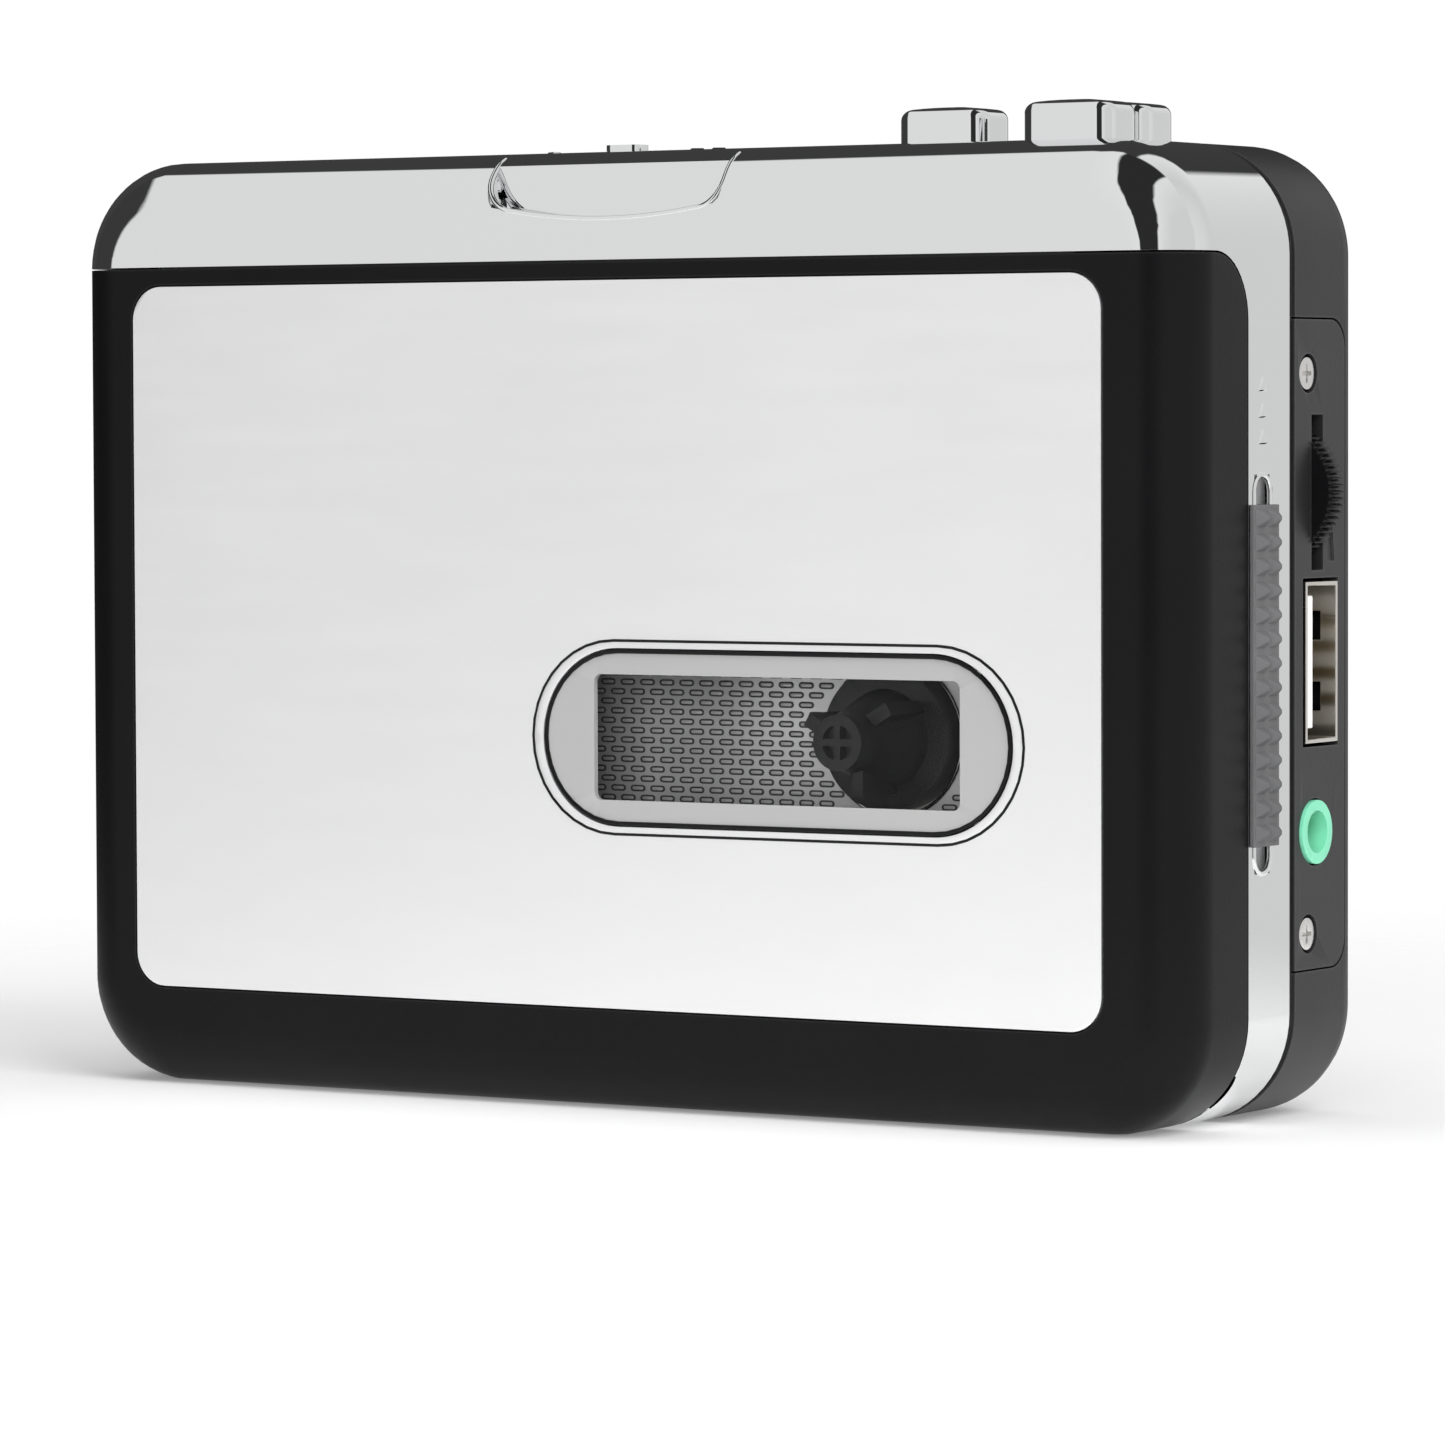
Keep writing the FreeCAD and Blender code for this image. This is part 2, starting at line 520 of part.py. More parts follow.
def screw(name, axis, first, second, head_rad, shank_rad, tip, seat_level, top):
    """A cross-head screw that points to lower values of its axis."""
    head = rod(name + "Head", axis, first, second, head_rad, seat_level, top)
    shank = rod(name + "Shank", axis, first, second, shank_rad, tip, seat_level)
    long, thin, depth = 0.6, 0.13, 0.6  # the cross, as shares of the head
    slots = []
    for wide, tall, which in ((long, thin, "A"), (thin, long, "B")):
        spans = [(f"{first} - {wide} * {head_rad}", f"{first} + {wide} * {head_rad}"),
                 (f"{second} - {tall} * {head_rad}", f"{second} + {tall} * {head_rad}")]
        spans.insert("xyz".index(axis), (f"{top} - {depth} * (({top}) - ({seat_level}))",
                                         f"{top} + wall"))
        slots.append(box(name + "Slot" + which, *spans[0], *spans[1], *spans[2]))
    return cut(name, fuse(name + "Solid", [head, shank]), slots)


def screws():
    node("side_panel_screws", group("SidePanelScrews", [
        screw("PanelScrew" + name, "x", "screw_row", up, "(panel_sink_rad - gap)",
              "pilot_rad - fit", "boss_in + gap", "panel_face - panel_sink", "panel_face - seam")
        for up, name in (("screw_low", "Low"), ("screw_high", "High"))]))
    node("case_screws", group("CaseScrews", [
        screw("CaseScrew" + name, "y", side, up, "(sink_rad - seam)", "shaft_rad",
              "ring_front + 2 * wall", "sink_floor", "sink_floor + wall")
        for side, up, name in boss_places()]))


# ---- door ----------------------------------------------------------------------------------

def grown_pill(grow_x, grow_z):
    return pill(f"pill_left + {grow_x}", f"pill_right - ({grow_x})", f"pill_low + {grow_z}",
                f"pill_high - ({grow_z})")


def view_outline(grow):
    """The lens's outline, a little larger than the clear area, grown by a clearance."""
    return rounded(f"view_left - lens_side - {grow}", f"view_right + lens_side + {grow}",
                   f"view_low - lens_end - {grow}", f"view_high + lens_end + {grow}",
                   "view_corner")


def door(shell):
    space = door_space("DoorSpace", "door_back", "door_top", "door_corner")
    blank = common("DoorBlank", [shell, space])

    def ear(sign, ending):
        knuckle = side_rod("DoorKnuckle" + ending, sign, "ear_gap - seam - ear_wide",
                           "ear_gap - seam", "hinge_back", "hinge_up", "knuckle_rad")
        web = side_box("DoorWeb" + ending, sign, "ear_gap - seam - ear_wide", "ear_gap - seam",
                       "hinge_back - knuckle_rad", "hinge_back + knuckle_rad", "wall - seam",
                       "hinge_up")
        return fuse("DoorEar" + ending, [knuckle, web])

    catch = box("DoorCatch", "catch_side", "body_width / 2 - wall + seam", "catch_front",
                "catch_back", "catch_low", "catch_high")
    solid = fuse("DoorSolid", [blank, catch] + both_sides(ear))
    heel_block = box("HeelBlock", "-body_width", "body_width", "hinge_back", "ring_front",
                     "-1 * wall", "hinge_up")
    heel_round = rod("HeelRound", "x", "hinge_back", "hinge_up", "sweep_rad", "-2 * body_width",
                     "2 * body_width")
    heel = cut("Heel", heel_block, [heel_round])
    foot = box("DoorFoot", "-body_width", "body_width", "2 * body_front", "body_back",
               "-1 * wall", "door_lift")
    notches = both_sides(lambda sign, ending: side_box(
        "ArmNotch" + ending, sign, "ear_gap - seam", "ear_gap + ear_wide + seam + gap",
        "hinge_back - 2 * gap", "ring_front", "-1 * wall", "hinge_up - ear_wide + seam"))
    pins = both_sides(lambda sign, ending: side_rod(
        "DoorPinHole" + ending, sign, "ear_gap - 2 * ear_wide", "ear_gap", "hinge_back",
        "hinge_up", "pin_rad"))
    recess = prism("PlateRecess", "XZ_Plane", "body_front - wall", "body_front + plate_thick",
                   rounded("plate_left - seam", "plate_right + seam", "plate_low - seam",
                           "plate_high + seam", "plate_corner + seam"))
    window = prism("WindowRecess", "XZ_Plane", "body_front", "body_front + window_deep",
                   grown_pill("0", "0"))
    lens_hole = prism("LensHole", "XZ_Plane", "body_front", "body_front + 2 * wall",
                      view_outline("seam"))
    node("door", cut("Door", solid, [heel, foot, recess, window, lens_hole] + notches + pins))


def door_trim():
    plate = prism("PlateBlank", "XZ_Plane", "body_front", "body_front + plate_thick - fit",
                  rounded("plate_left", "plate_right", "plate_low", "plate_high", "plate_corner"))
    opening = prism("PlateOpening", "XZ_Plane", "body_front - wall", "body_front + wall",
                    grown_pill("0", "0"))
    node("door_plate", cut("DoorPlate", plate, [opening]))

    outer = prism("RingOuter", "XZ_Plane", "body_front", "body_front + window_deep - fit",
                  grown_pill("seam", "seam"))
    inner = prism("RingInner", "XZ_Plane", "body_front - wall", "body_front + wall",
                  grown_pill("ring_wide", "ring_tall"))
    node("window_ring", cut("WindowRing", outer, [inner]))

    mask = prism("MaskBlank", "XZ_Plane", "body_front + 2 * fit", "body_front + lens_front - fit",
                 grown_pill("ring_wide + mask_gap", "ring_tall + mask_gap"))
    view = prism("MaskView", "XZ_Plane", "body_front - wall", "body_front + wall",
                 rounded("view_left", "view_right", "view_low", "view_high", "view_corner"))
    node("window_mask", cut("WindowMask", mask, [view]))
    node("window_lens", prism("WindowLens", "XZ_Plane", "body_front + lens_front",
                              "body_front + 2 * lens_front", view_outline("0")))


def door_fittings():
    node("hinge_pins", group("HingePins", both_sides(lambda sign, ending: side_rod(
        "HingePin" + ending, sign, "ear_gap - 1.2 * ear_wide", "ear_gap + ear_wide",
        "hinge_back", "hinge_up", "pin_rad"))))

    def rail(sign, ending):
        wall = side_box("RailWall" + ending, sign, "rail_side", "rail_side + rail_wide",
                        "body_front + wall", "door_back", "rail_low", "rail_high")
        lip = side_box("RailLip" + ending, sign, "rail_side - 1.5 * rail_wide", "rail_side + gap",
                       "door_back - rail_wide / 2", "door_back", "rail_low", "rail_high")
        return fuse("Rail" + ending, [wall, lip])

    node("cassette_guides", group("CassetteGuides", both_sides(rail)))

    def leaf(name, middle):
        """A bowed leaf that presses on the cassette."""
        base = "body_front + wall"
        near = [(f"{middle} + {step} * leaf_step", f"{base} + {lift} * leaf_bow")
                for step, lift in ((-3, 0), (-2, 0), (-1, 1), (1, 1), (2, 0), (3, 0))]
        far = [(across, f"{along} + leaf_thick") for across, along in reversed(near)]
        return prism(name, "XY_Plane", "leaf_low", "leaf_high", polygon(near + far))

    node("pressure_springs", group("PressureSprings", [leaf("LeafLeft", "-1 * leaf_side"),
                                                       leaf("LeafRight", "leaf_side")]))


# ---- tape drive ----------------------------------------------------------------------------

def gear_face(teeth, module, phase, slack):
    """An involute gear outline about the origin, with a tooth centred at the phase angle."""
    pitch_rad = teeth * module / 2
    base_rad = pitch_rad * math.cos(math.radians(20))
    root_rad, tip_rad = pitch_rad - 1.2 * module, pitch_rad + 0.95 * module

    def half_angle(radius):
        """Half the angle that a tooth fills at one radius."""
        def involute(rad):
            pressure = math.acos(min(1, base_rad / rad))
            return math.tan(pressure) - pressure
        start = math.pi / (2 * teeth) - slack / pitch_rad
        return start + involute(pitch_rad) - involute(max(radius, base_rad))

    flank = [root_rad, max(root_rad, base_rad) + 0.05 * module, pitch_rad, tip_rad]
    points = []
    for tooth in range(teeth):
        middle = phase + tooth * 2 * math.pi / teeth
        rise = [(radius, middle - half_angle(radius)) for radius in flank]
        fall = [(radius, middle + half_angle(radius)) for radius in reversed(flank)]
        points += [FreeCAD.Vector(r * math.cos(a), 0, r * math.sin(a)) for r, a in rise + fall]
    return Part.Face(Part.makePolygon(points + points[:1]))


def gear(name, teeth, module, phase, bore, front, back, side, up):
    """A spur gear with its axis along Y. The outline is a formula, so its shape is made here."""
    long = value(f"({back}) - ({front})")
    solid = gear_face(int(value(teeth)), value(module), phase, 0.03).extrude(
        FreeCAD.Vector(0, long, 0))
    hole = Part.makeCylinder(value(bore), long, FreeCAD.Vector(), FreeCAD.Vector(0, 1, 0))
    feature = doc.addObject("Part::Feature", name)
    feature.Shape = solid.cut(hole)
    feature.Placement = FreeCAD.Placement(FreeCAD.Vector(side, value(front), up),
                                          FreeCAD.Rotation())
    return feature


def gear_line():
    """The line from the capstan to the take-up reel, and the idler's place on it."""
    start = FreeCAD.Vector(value("capstan_side"), 0, value("capstan_up"))
    end = FreeCAD.Vector(value("-1 * reel_side"), 0, value("reel_up"))
    along = (end - start).normalize()
    reach = value("(pinion_teeth + idler_teeth) * gear_module / 2 + mesh_slack")
    return along, start + along * reach


def reel(node_name, name, side, phase):
    """A reel gear and the finned spindle that carries a cassette hub."""
    gear_node = gear(name + "Gear", "reel_teeth", "gear_module", phase, "hub_rad",
                     "gear_front", "gear_back", value(side), value("reel_up"))
    node(node_name + "_gear", gear_node)
    axis = ("y", side, "reel_up")
    collar = rod(name + "Collar", *axis, "collar_rad", "collar_front", "gear_front")
    hub = rod(name + "Hub", *axis, "hub_rad", "gear_front", "gear_back")
    body = cone(name + "Cone", *axis, "tip_rad", "cone_rad", "tip_back", "collar_front")
    tip = rod(name + "Tip", *axis, "tip_rad", "tip_front", "tip_back")
    axle = rod(name + "Axle", *axis, "shaft_rad", "gear_back", "axle_back")
    fins = []
    for number in range(3):
        fin = box(f"{name}Fin{number}", "0", "fin_reach", "fin_front", "collar_front",
                  "-1 * fin_thick / 2", "fin_thick / 2")
        fin.Placement = FreeCAD.Placement(
            FreeCAD.Vector(), FreeCAD.Rotation(FreeCAD.Vector(0, 1, 0), 90 + 120 * number))
        for letter, text in (("x", side), ("y", "fin_front"), ("z", "reel_up")):
            bind(fin, f"Placement.Base.{letter}", text)
        fins.append(fin)
    depth = ("tip_front - wall", "tip_back - gap")
    long, thin = "tip_rad", "cross_wide / 2"
    cross = [box(name + "Cross" + which, f"{side} - {wide}", f"{side} + {wide}", *depth,
                 f"reel_up - {tall}", f"reel_up + {tall}")
             for wide, tall, which in ((long, thin, "A"), (thin, long, "B"))]
    sink = cut(name + "TipSink", rod(name + "Sink", *axis, "tip_sink", *depth), cross)
    solid = fuse(name + "Solid", [collar, hub, body, tip, axle] + fins)
    node(node_name + "_spindle", cut(name + "Spindle", solid, [sink]))


def pulley_stack(name, side, up, radius):
    """A wheel along Y with a square groove for the belt."""
    third = "wheel_thick / 4"
    return [rod(name + "Front", "y", side, up, radius, "wheel_front", f"wheel_front + {third}"),
            rod(name + "Groove", "y", side, up, f"{radius} - groove_deep", f"wheel_front + {third}",
                f"wheel_front + wheel_thick - {third}"),
            rod(name + "Back", "y", side, up, radius, f"wheel_front + wheel_thick - {third}",
                "wheel_front + wheel_thick")]


def belt_face(grow):
    """The closed outline of a belt round the flywheel and the motor pulley."""
    big = value(f"flywheel_rad - groove_deep + {grow}")
    small = value(f"pulley_rad - groove_deep + {grow}")
    centre = FreeCAD.Vector(value("capstan_side"), 0, value("capstan_up"))
    other = FreeCAD.Vector(value("motor_side"), 0, value("motor_up"))
    along = other - centre
    lean = math.acos((big - small) / along.Length)
    heading = math.atan2(along.z, along.x)

    def spot(middle, radius, angle):
        return middle + FreeCAD.Vector(radius * math.cos(angle), 0, radius * math.sin(angle))

    upper, lower = heading + lean, heading - lean
    edges = [Part.Arc(spot(centre, big, upper), spot(centre, big, heading + math.pi),
                      spot(centre, big, lower)).toShape(),
             Part.makeLine(spot(centre, big, lower), spot(other, small, lower)),
             Part.Arc(spot(other, small, lower), spot(other, small, heading),
                      spot(other, small, upper)).toShape(),
             Part.makeLine(spot(other, small, upper), spot(centre, big, upper))]
    return Part.Face(Part.Wire(edges))


def drive_belt():
    """Tangent runs round two wheels, so the loop's shape is made here."""
    width = value("wheel_thick / 2 - 0.3")
    front = value("wheel_front + wheel_thick / 4 + 0.15")
    ring = belt_face("fit + belt_thick").cut(belt_face("fit"))
    feature = doc.addObject("Part::Feature", "DriveBelt")
    feature.Shape = ring.extrude(FreeCAD.Vector(0, width, 0)).Solids[0]
    feature.Placement = FreeCAD.Placement(FreeCAD.Vector(0, front, 0), FreeCAD.Rotation())
    node("drive_belt", feature)


def drive():
    along, idler = gear_line()
    heading = math.atan2(along.z, along.x)
    half_pitch = math.pi / int(value("idler_teeth"))
    reel("take_up", "TakeUp", "-1 * reel_side", heading + math.pi)
    reel("supply", "Supply", "reel_side", 0)
    node("idler_gear", gear("IdlerGear", "idler_teeth", "gear_module", heading + half_pitch,
                            "post_rad + fit", "gear_front", "gear_back", idler.x, idler.z))
    node("capstan_pinion", gear("CapstanPinion", "pinion_teeth", "gear_module", heading,
                                "shaft_rad", "gear_front", "gear_back", value("capstan_side"),
                                value("capstan_up")))
    capstan = ("y", "capstan_side", "capstan_up")
    node("capstan_shaft", rod("CapstanShaft", *capstan, "shaft_rad", "shaft_front", "shaft_back"))
    sleeve = rod("BearingSleeve", *capstan, "bearing_rad", "bearing_front", "bearing_back")
    flange = rod("BearingFlange", *capstan, "bearing_rad + wall", "chassis_back",
                 "chassis_back + flange_thick")
    bearing_bore = rod("BearingBore", *capstan, "shaft_rad + fit", "0", "body_back")
    node("capstan_bearing", cut("CapstanBearing", fuse("BearingSolid", [sleeve, flange]),
                                [bearing_bore]))
    wheel = fuse("FlywheelSolid", pulley_stack("Flywheel", *capstan[1:], "flywheel_rad"))
    wheel_bore = rod("FlywheelBore", *capstan, "shaft_rad", "0", "body_back")
    node("flywheel", cut("FlywheelCut", wheel, [wheel_bore]))
    motor = ("y", "motor_side", "motor_up")
    can = rod("MotorBody", *motor, "motor_rad", "0", "motor_long")
    socket = rod("MotorSocket", *motor, "motor_shaft + fit", "motor_long - wheel_thick",
                 "motor_long")
    node("motor_can", cut("MotorCan", can, [socket]))
    spindle = rod("MotorShaft", *motor, "motor_shaft", "motor_long - wheel_thick + gap",
                  "wheel_front")
    node("motor_pulley", fuse("MotorPulley", pulley_stack("Pulley", *motor[1:], "pulley_rad")
                              + [spindle]))
    drive_belt()


def well_plate():
    plate = box("WellBlank", "-1 * well_side", "well_side", "well_front", "well_back",
                "well_low", "well_high")
    through = ("well_front - wall", "well_back + wall")
    holes = [rod("WellReelLeft", "y", "-1 * reel_side", "reel_up", "collar_rad + gap", *through),
             rod("WellReelRight", "y", "reel_side", "reel_up", "collar_rad + gap", *through),
             rod("WellCapstan", "y", "capstan_side", "capstan_up", "shaft_rad + 2 * gap",
                 *through)]
    node("well_plate", cut("WellPlate", plate, holes))


def chassis_plate():
    """The sheet that carries the motor, bearing and reels, with its posts."""
    thick = ("chassis_front", "chassis_back")
    upper = box("ChassisUpper", "-1 * chassis_side", "chassis_side", *thick, "chassis_low",
                "chassis_high")
    lower = box("ChassisLower", "chassis_step", "chassis_side", *thick, "chassis_foot",
                "chassis_low")
    posts = [rod(f"ChassisPost{ending}{name}", "y", f"{sign} * post_side", up, "chassis_post",
                 "well_back", "chassis_front")
             for sign, ending in (("-1", "Left"), ("1", "Right"))
             for up, name in (("post_low", "Low"), ("post_high", "High"))]
    _, idler = gear_line()
    idler_post = rod("IdlerPost", "y", str(idler.x), str(idler.z), "post_rad",
                     "gear_front - 4 * fit", "chassis_front")
    arm_post = rod("ArmPost", "y", "arm_side", "arm_up", "arm_post", "arm_front - 5 * fit",
                   "chassis_front")
    solid = fuse("ChassisSolid", [upper, lower, idler_post, arm_post] + posts)
    through = ("chassis_front - wall", "chassis_back + wall")
    holes = [rod("ChassisMotor", "y", "motor_side", "motor_up", "motor_rad + gap", *through),
             rod("ChassisBearing", "y", "capstan_side", "capstan_up", "bearing_rad + fit",
                 *through),
             rod("ChassisReelLeft", "y", "-1 * reel_side", "reel_up", "shaft_rad + fit", *through),
             rod("ChassisReelRight", "y", "reel_side", "reel_up", "shaft_rad + fit", *through)]
    node("chassis_plate", cut("ChassisPlate", solid, holes))


def head_parts():
    sheet_metal = ("bridge_front", "bridge_back")
    bar = box("BridgeBar", "bridge_left", "bridge_right", *sheet_metal, "bridge_low",
              "bridge_high")
    finger = box("BridgeFinger", "finger_left", "finger_right", *sheet_metal, "bridge_low",
                 "finger_low - 4 * fit")
    bracket = box("BridgeBracket", "bracket_left", "bracket_right", "bracket_front", "bridge_back",
                  "bridge_low - gap", "bridge_high")
    bridge = fuse("BridgeSolid", [bar, finger, bracket])
    places = (("head_screw_left", "Left"), ("head_screw_right", "Right"))
    holes = [rod("HeadHole" + name, "z", side, "head_screw_row", "wire + 4 * fit",
                 "bridge_low + wall", "bridge_high + wall") for side, name in places]
    node("head_bridge", cut("HeadBridge", bridge, holes))
    node("head_screws", group("HeadScrews", [
        screw("HeadScrew" + name, "z", side, "head_screw_row", "shaft_rad", "wire + 3 * fit",
              "bridge_low + wall + 2 * fit", "bridge_high", "bridge_high + post_rad")
        for side, name in places]))
    back = "bracket_front - 2 * fit"
    block = box("HeadBlock", "-1 * head_half", "head_half", "head_front", back, "head_low",
                "head_high")
    face = rod("HeadFace", "y", "0", "head_low + head_bow", "head_bow", "head_front - wall", "0")
    node("tape_head", common("TapeHead", [block, face]))
    guide = box("GuideBlock", "guide_left", "guide_left + guide_wide", "head_front + shaft_rad",
                back, "head_low", "head_high")
    middle = f"(head_front + shaft_rad + {back}) / 2"
    opening = box("GuideGap", "guide_left - wall", "guide_left + guide_wide + wall",
                  f"{middle} - shaft_rad * 2", f"{middle} + shaft_rad * 2", "head_low - wall",
                  "head_low + hub_rad")
    node("tape_guide", cut("TapeGuide", guide, [opening]))


def pinch_parts():
    sheet_metal = ("arm_front", "arm_back")
    pivot_axis, roller_axis = ("y", "arm_side", "arm_up"), ("y", "roller_side", "roller_up")
    pivot = rod("ArmPivot", *pivot_axis, "arm_rad", *sheet_metal)
    end = rod("ArmEnd", *roller_axis, "shaft_rad * 2", *sheet_metal)
    web = box("ArmWeb", "arm_side", "roller_side", *sheet_metal, "roller_up - arm_post",
              "roller_up + arm_post + 2 * gap")
    through = ("arm_front - wall", "arm_back + wall")
    holes = [rod("ArmHole", *pivot_axis, "arm_post + fit", *through),
             rod("AxleHole", *roller_axis, "post_rad", *through)]
    node("pinch_arm", cut("PinchArm", fuse("ArmSolid", [pivot, end, web]), holes))
    node("pinch_axle", rod("PinchAxle", *roller_axis, "post_rad",
                           "roller_front - 2 * wire", "arm_back"))
    tyre = rod("RollerTyre", *roller_axis, "roller_rad", "roller_front", "roller_back")
    bore = rod("RollerBore", *roller_axis, "post_rad + fit", "body_front", "0")
    node("pinch_roller", cut("PinchRoller", tyre, [bore]))


# ---- keys and top controls -----------------------------------------------------------------

def key_cap(name, side, row):
    """A rounded cap with a crowned top and a flange that stops it under the case."""
    outline = rounded(f"{side} - key_wide / 2", f"{side} + key_wide / 2",
                      f"{row} - key_deep / 2", f"{row} + key_deep / 2", "key_corner")
    blank = prism(name + "Blank", "XY_Plane", "key_low", "key_high", outline)
    crown = rod(name + "Crown", "y", side, "key_high - key_crown", "key_crown", "2 * body_front",
                "2 * body_back")
    flange = box(name + "Flange", f"{side} - key_wide / 2 - key_flange",
                 f"{side} + key_wide / 2 + key_flange", f"{row} - key_deep / 2 - key_flange",
                 f"{row} + key_deep / 2 + key_flange - fit", "key_low", "key_low + flange_tall")
    return [common(name + "Cap", [blank, crown]), flange]


def coil(name, side, row, floor):
    """A compression spring that stands on a floor and is as long as the space below a key."""
    turns = "(key_low - cover_high - wire - 2 * fit)"
    helix = doc.addObject("Part::Helix", name + "Helix")
    bind(helix, "Radius", "coil_rad")
    bind(helix, "Height", turns)
    bind(helix, "Pitch", turns + " / 4")
    section = doc.addObject("Part::RegularPolygon", name + "Section")
    section.Polygon = 12
    bind(section, "Circumradius", "wire / 2")
    section.Placement = FreeCAD.Placement(FreeCAD.Vector(),
                                          FreeCAD.Rotation(FreeCAD.Vector(1, 0, 0), 90))
    bind(section, "Placement.Base.x", "coil_rad")
    sweep = doc.addObject("Part::Sweep", name)
    sweep.Sections = [section]
    sweep.Spine = (helix, [])
    sweep.Solid = True
    sweep.Frenet = True
    for axis, text in (("x", side), ("y", row), ("z", f"{floor} + wire / 2 + fit")):
        bind(sweep, f"Placement.Base.{axis}", text)
    return sweep


def keys():
    for label, name, side in (("forward_key", "ForwardKey", "forward_side"),
                              ("stop_key", "StopKey", "stop_side")):
        stem = box(name + "Stem", f"{side} - stem_half", f"{side} + stem_half", "stem_front",
                   "stem_back", "stem_low", "key_low + gap")
        node(label, fuse(name, key_cap(name, side, "key_row") + [stem]))
    node("play_key", fuse("PlayKey", key_cap("PlayKey", "play_side", "play_row")))
    finger_tall = ("finger_low", "finger_low + finger_thick")
    post = box("SliderPost", "play_side - stem_half", "play_side + stem_half", "slider_row",
               "slider_row + shaft_rad", "finger_low", "key_low")
    web = box("SliderWeb", "finger_left", "play_side + stem_half", "slider_row", "slider_web",
              *finger_tall)
    finger = box("SliderFinger", "finger_left", "finger_right", "slider_row", "bridge_back",
                 *finger_tall)
    node("play_slider", fuse("PlaySlider", [post, web, finger]))
    for label, name, side, row in (("forward_spring", "ForwardSpring", "forward_side", "key_row"),
                                   ("stop_spring", "StopSpring", "stop_side", "key_row"),
                                   ("play_spring", "PlaySpring", "play_side", "play_row")):
        node(label, coil(name, side, f"{row} - spring_back", "cover_high"))


def head_bay_cover():
    """A plate under the fixed upper part, open where the head and roller come through."""
    plate = box("BayPlate", "-1 * cover_side", "cover_side", "scoop_floor", "cover_back",
                "cover_low", "cover_high")
    opening = box("BayOpening", "bay_left", "bay_right", "head_front - 10 * fit", "wall",
                  "cover_low - wall", "cover_high + wall")
    node("head_bay_cover", cut("HeadBayCover", plate, [opening]))


def control_nub():
    """A small rocking button over a plunger."""
    cap = prism("ControlNub", "XY_Plane", "body_height - seam", "body_height + nub_high",
                rounded("nub_side - nub_half", "nub_side + nub_half", "nub_row - nub_deep",
                        "nub_row + nub_deep", "nub_deep - gap"))
    node("control_nub", cap)
    stem = rod("NubPlunger", "z", "nub_side", "nub_row", "nub_rad", "nub_foot",
               "body_height - seam - 4 * fit")
    flange = rod("NubFlange", "z", "nub_side", "nub_row", "nub_flange", "nub_foot",
                 "nub_foot + flange_thick")
    node("nub_stem", fuse("NubStem", [stem, flange]))


# ---- side controls and sockets -------------------------------------------------------------

def open_slider():
    face = "body_width / 2 + fit + pad_thick"
    pad = box("SliderPad", "body_width / 2 + fit", face, "slider_front", "slider_back",
              "slider_low", "slider_high")
    neck = box("SliderNeck", "latch_in + latch_thick", "body_width / 2 + fit",
               "slider_front + grip_inset", "slider_back - grip_inset",
               "slider_low + grip_inset", "slider_high - grip_inset")
    pitch = "(slider_high - slider_low) / slider_ribs"
    ribs = []
    for number in range(int(value("slider_ribs"))):
        low = f"slider_low + ({number} + 1 / 4) * {pitch}"
        ribs.append(box(f"SliderRib{number}", face, f"{face} + rib_tall", "slider_front + wire",
                        "slider_back - wire", low, f"{low} + {pitch} / 2"))
    node("open_slider", fuse("OpenSlider", [pad, neck] + ribs))
    thick = ("latch_in", "latch_in + latch_thick")
    half = "latch_wide / 2"
    strip = box("LatchStrip", *thick, f"latch_row - {half}", f"latch_row + {half}",
                "slider_low - latch_wide", "stop_low - key_low + cover_high")
    arm = box("LatchArm", *thick, "catch_front - 1.1", f"latch_row - {half}", "catch_high + 1.3",
              "catch_high + 1.3 + 1.5 * latch_thick")
    tooth = box("LatchTooth", *thick, "catch_front - 1.1", "catch_front - gap", "catch_high + 0.2",
                "catch_high + 1.3")
    node("latch_plate", fuse("LatchPlate", [strip, arm, tooth]))
    node("latch_spring", coil("LatchSpring", "latch_in + latch_thick / 2", "latch_row",
                              "stop_low - key_low + cover_high"))


def volume_parts():
    rim = gear("VolumeRim", "knurl_teeth", "2 * wheel_rad / (knurl_teeth + 2)", 0, "shaft_rad",
               "wheel_row - wheel_wide / 2", "wheel_row + wheel_wide / 2", value("wheel_side"),
               value("wheel_up"))
    axle = rod("VolumeAxle", "y", "wheel_side", "wheel_up", "shaft_rad",
               "wheel_row - wheel_wide / 2", "pot_front + 5 * wall / 6")
    node("volume_wheel", fuse("VolumeWheel", [rim, axle]))
    case = box("PotCase", "wheel_side - wheel_rad - shaft_rad", "latch_in + latch_thick",
               "pot_front", "pot_back", "wheel_up - pot_half", "wheel_up + pot_half")
    bore = rod("PotBore", "y", "wheel_side", "wheel_up", "shaft_rad + fit", "pot_front - wall",
               "pot_front + wall")
    node("volume_pot", cut("VolumePot", case, [bore]))


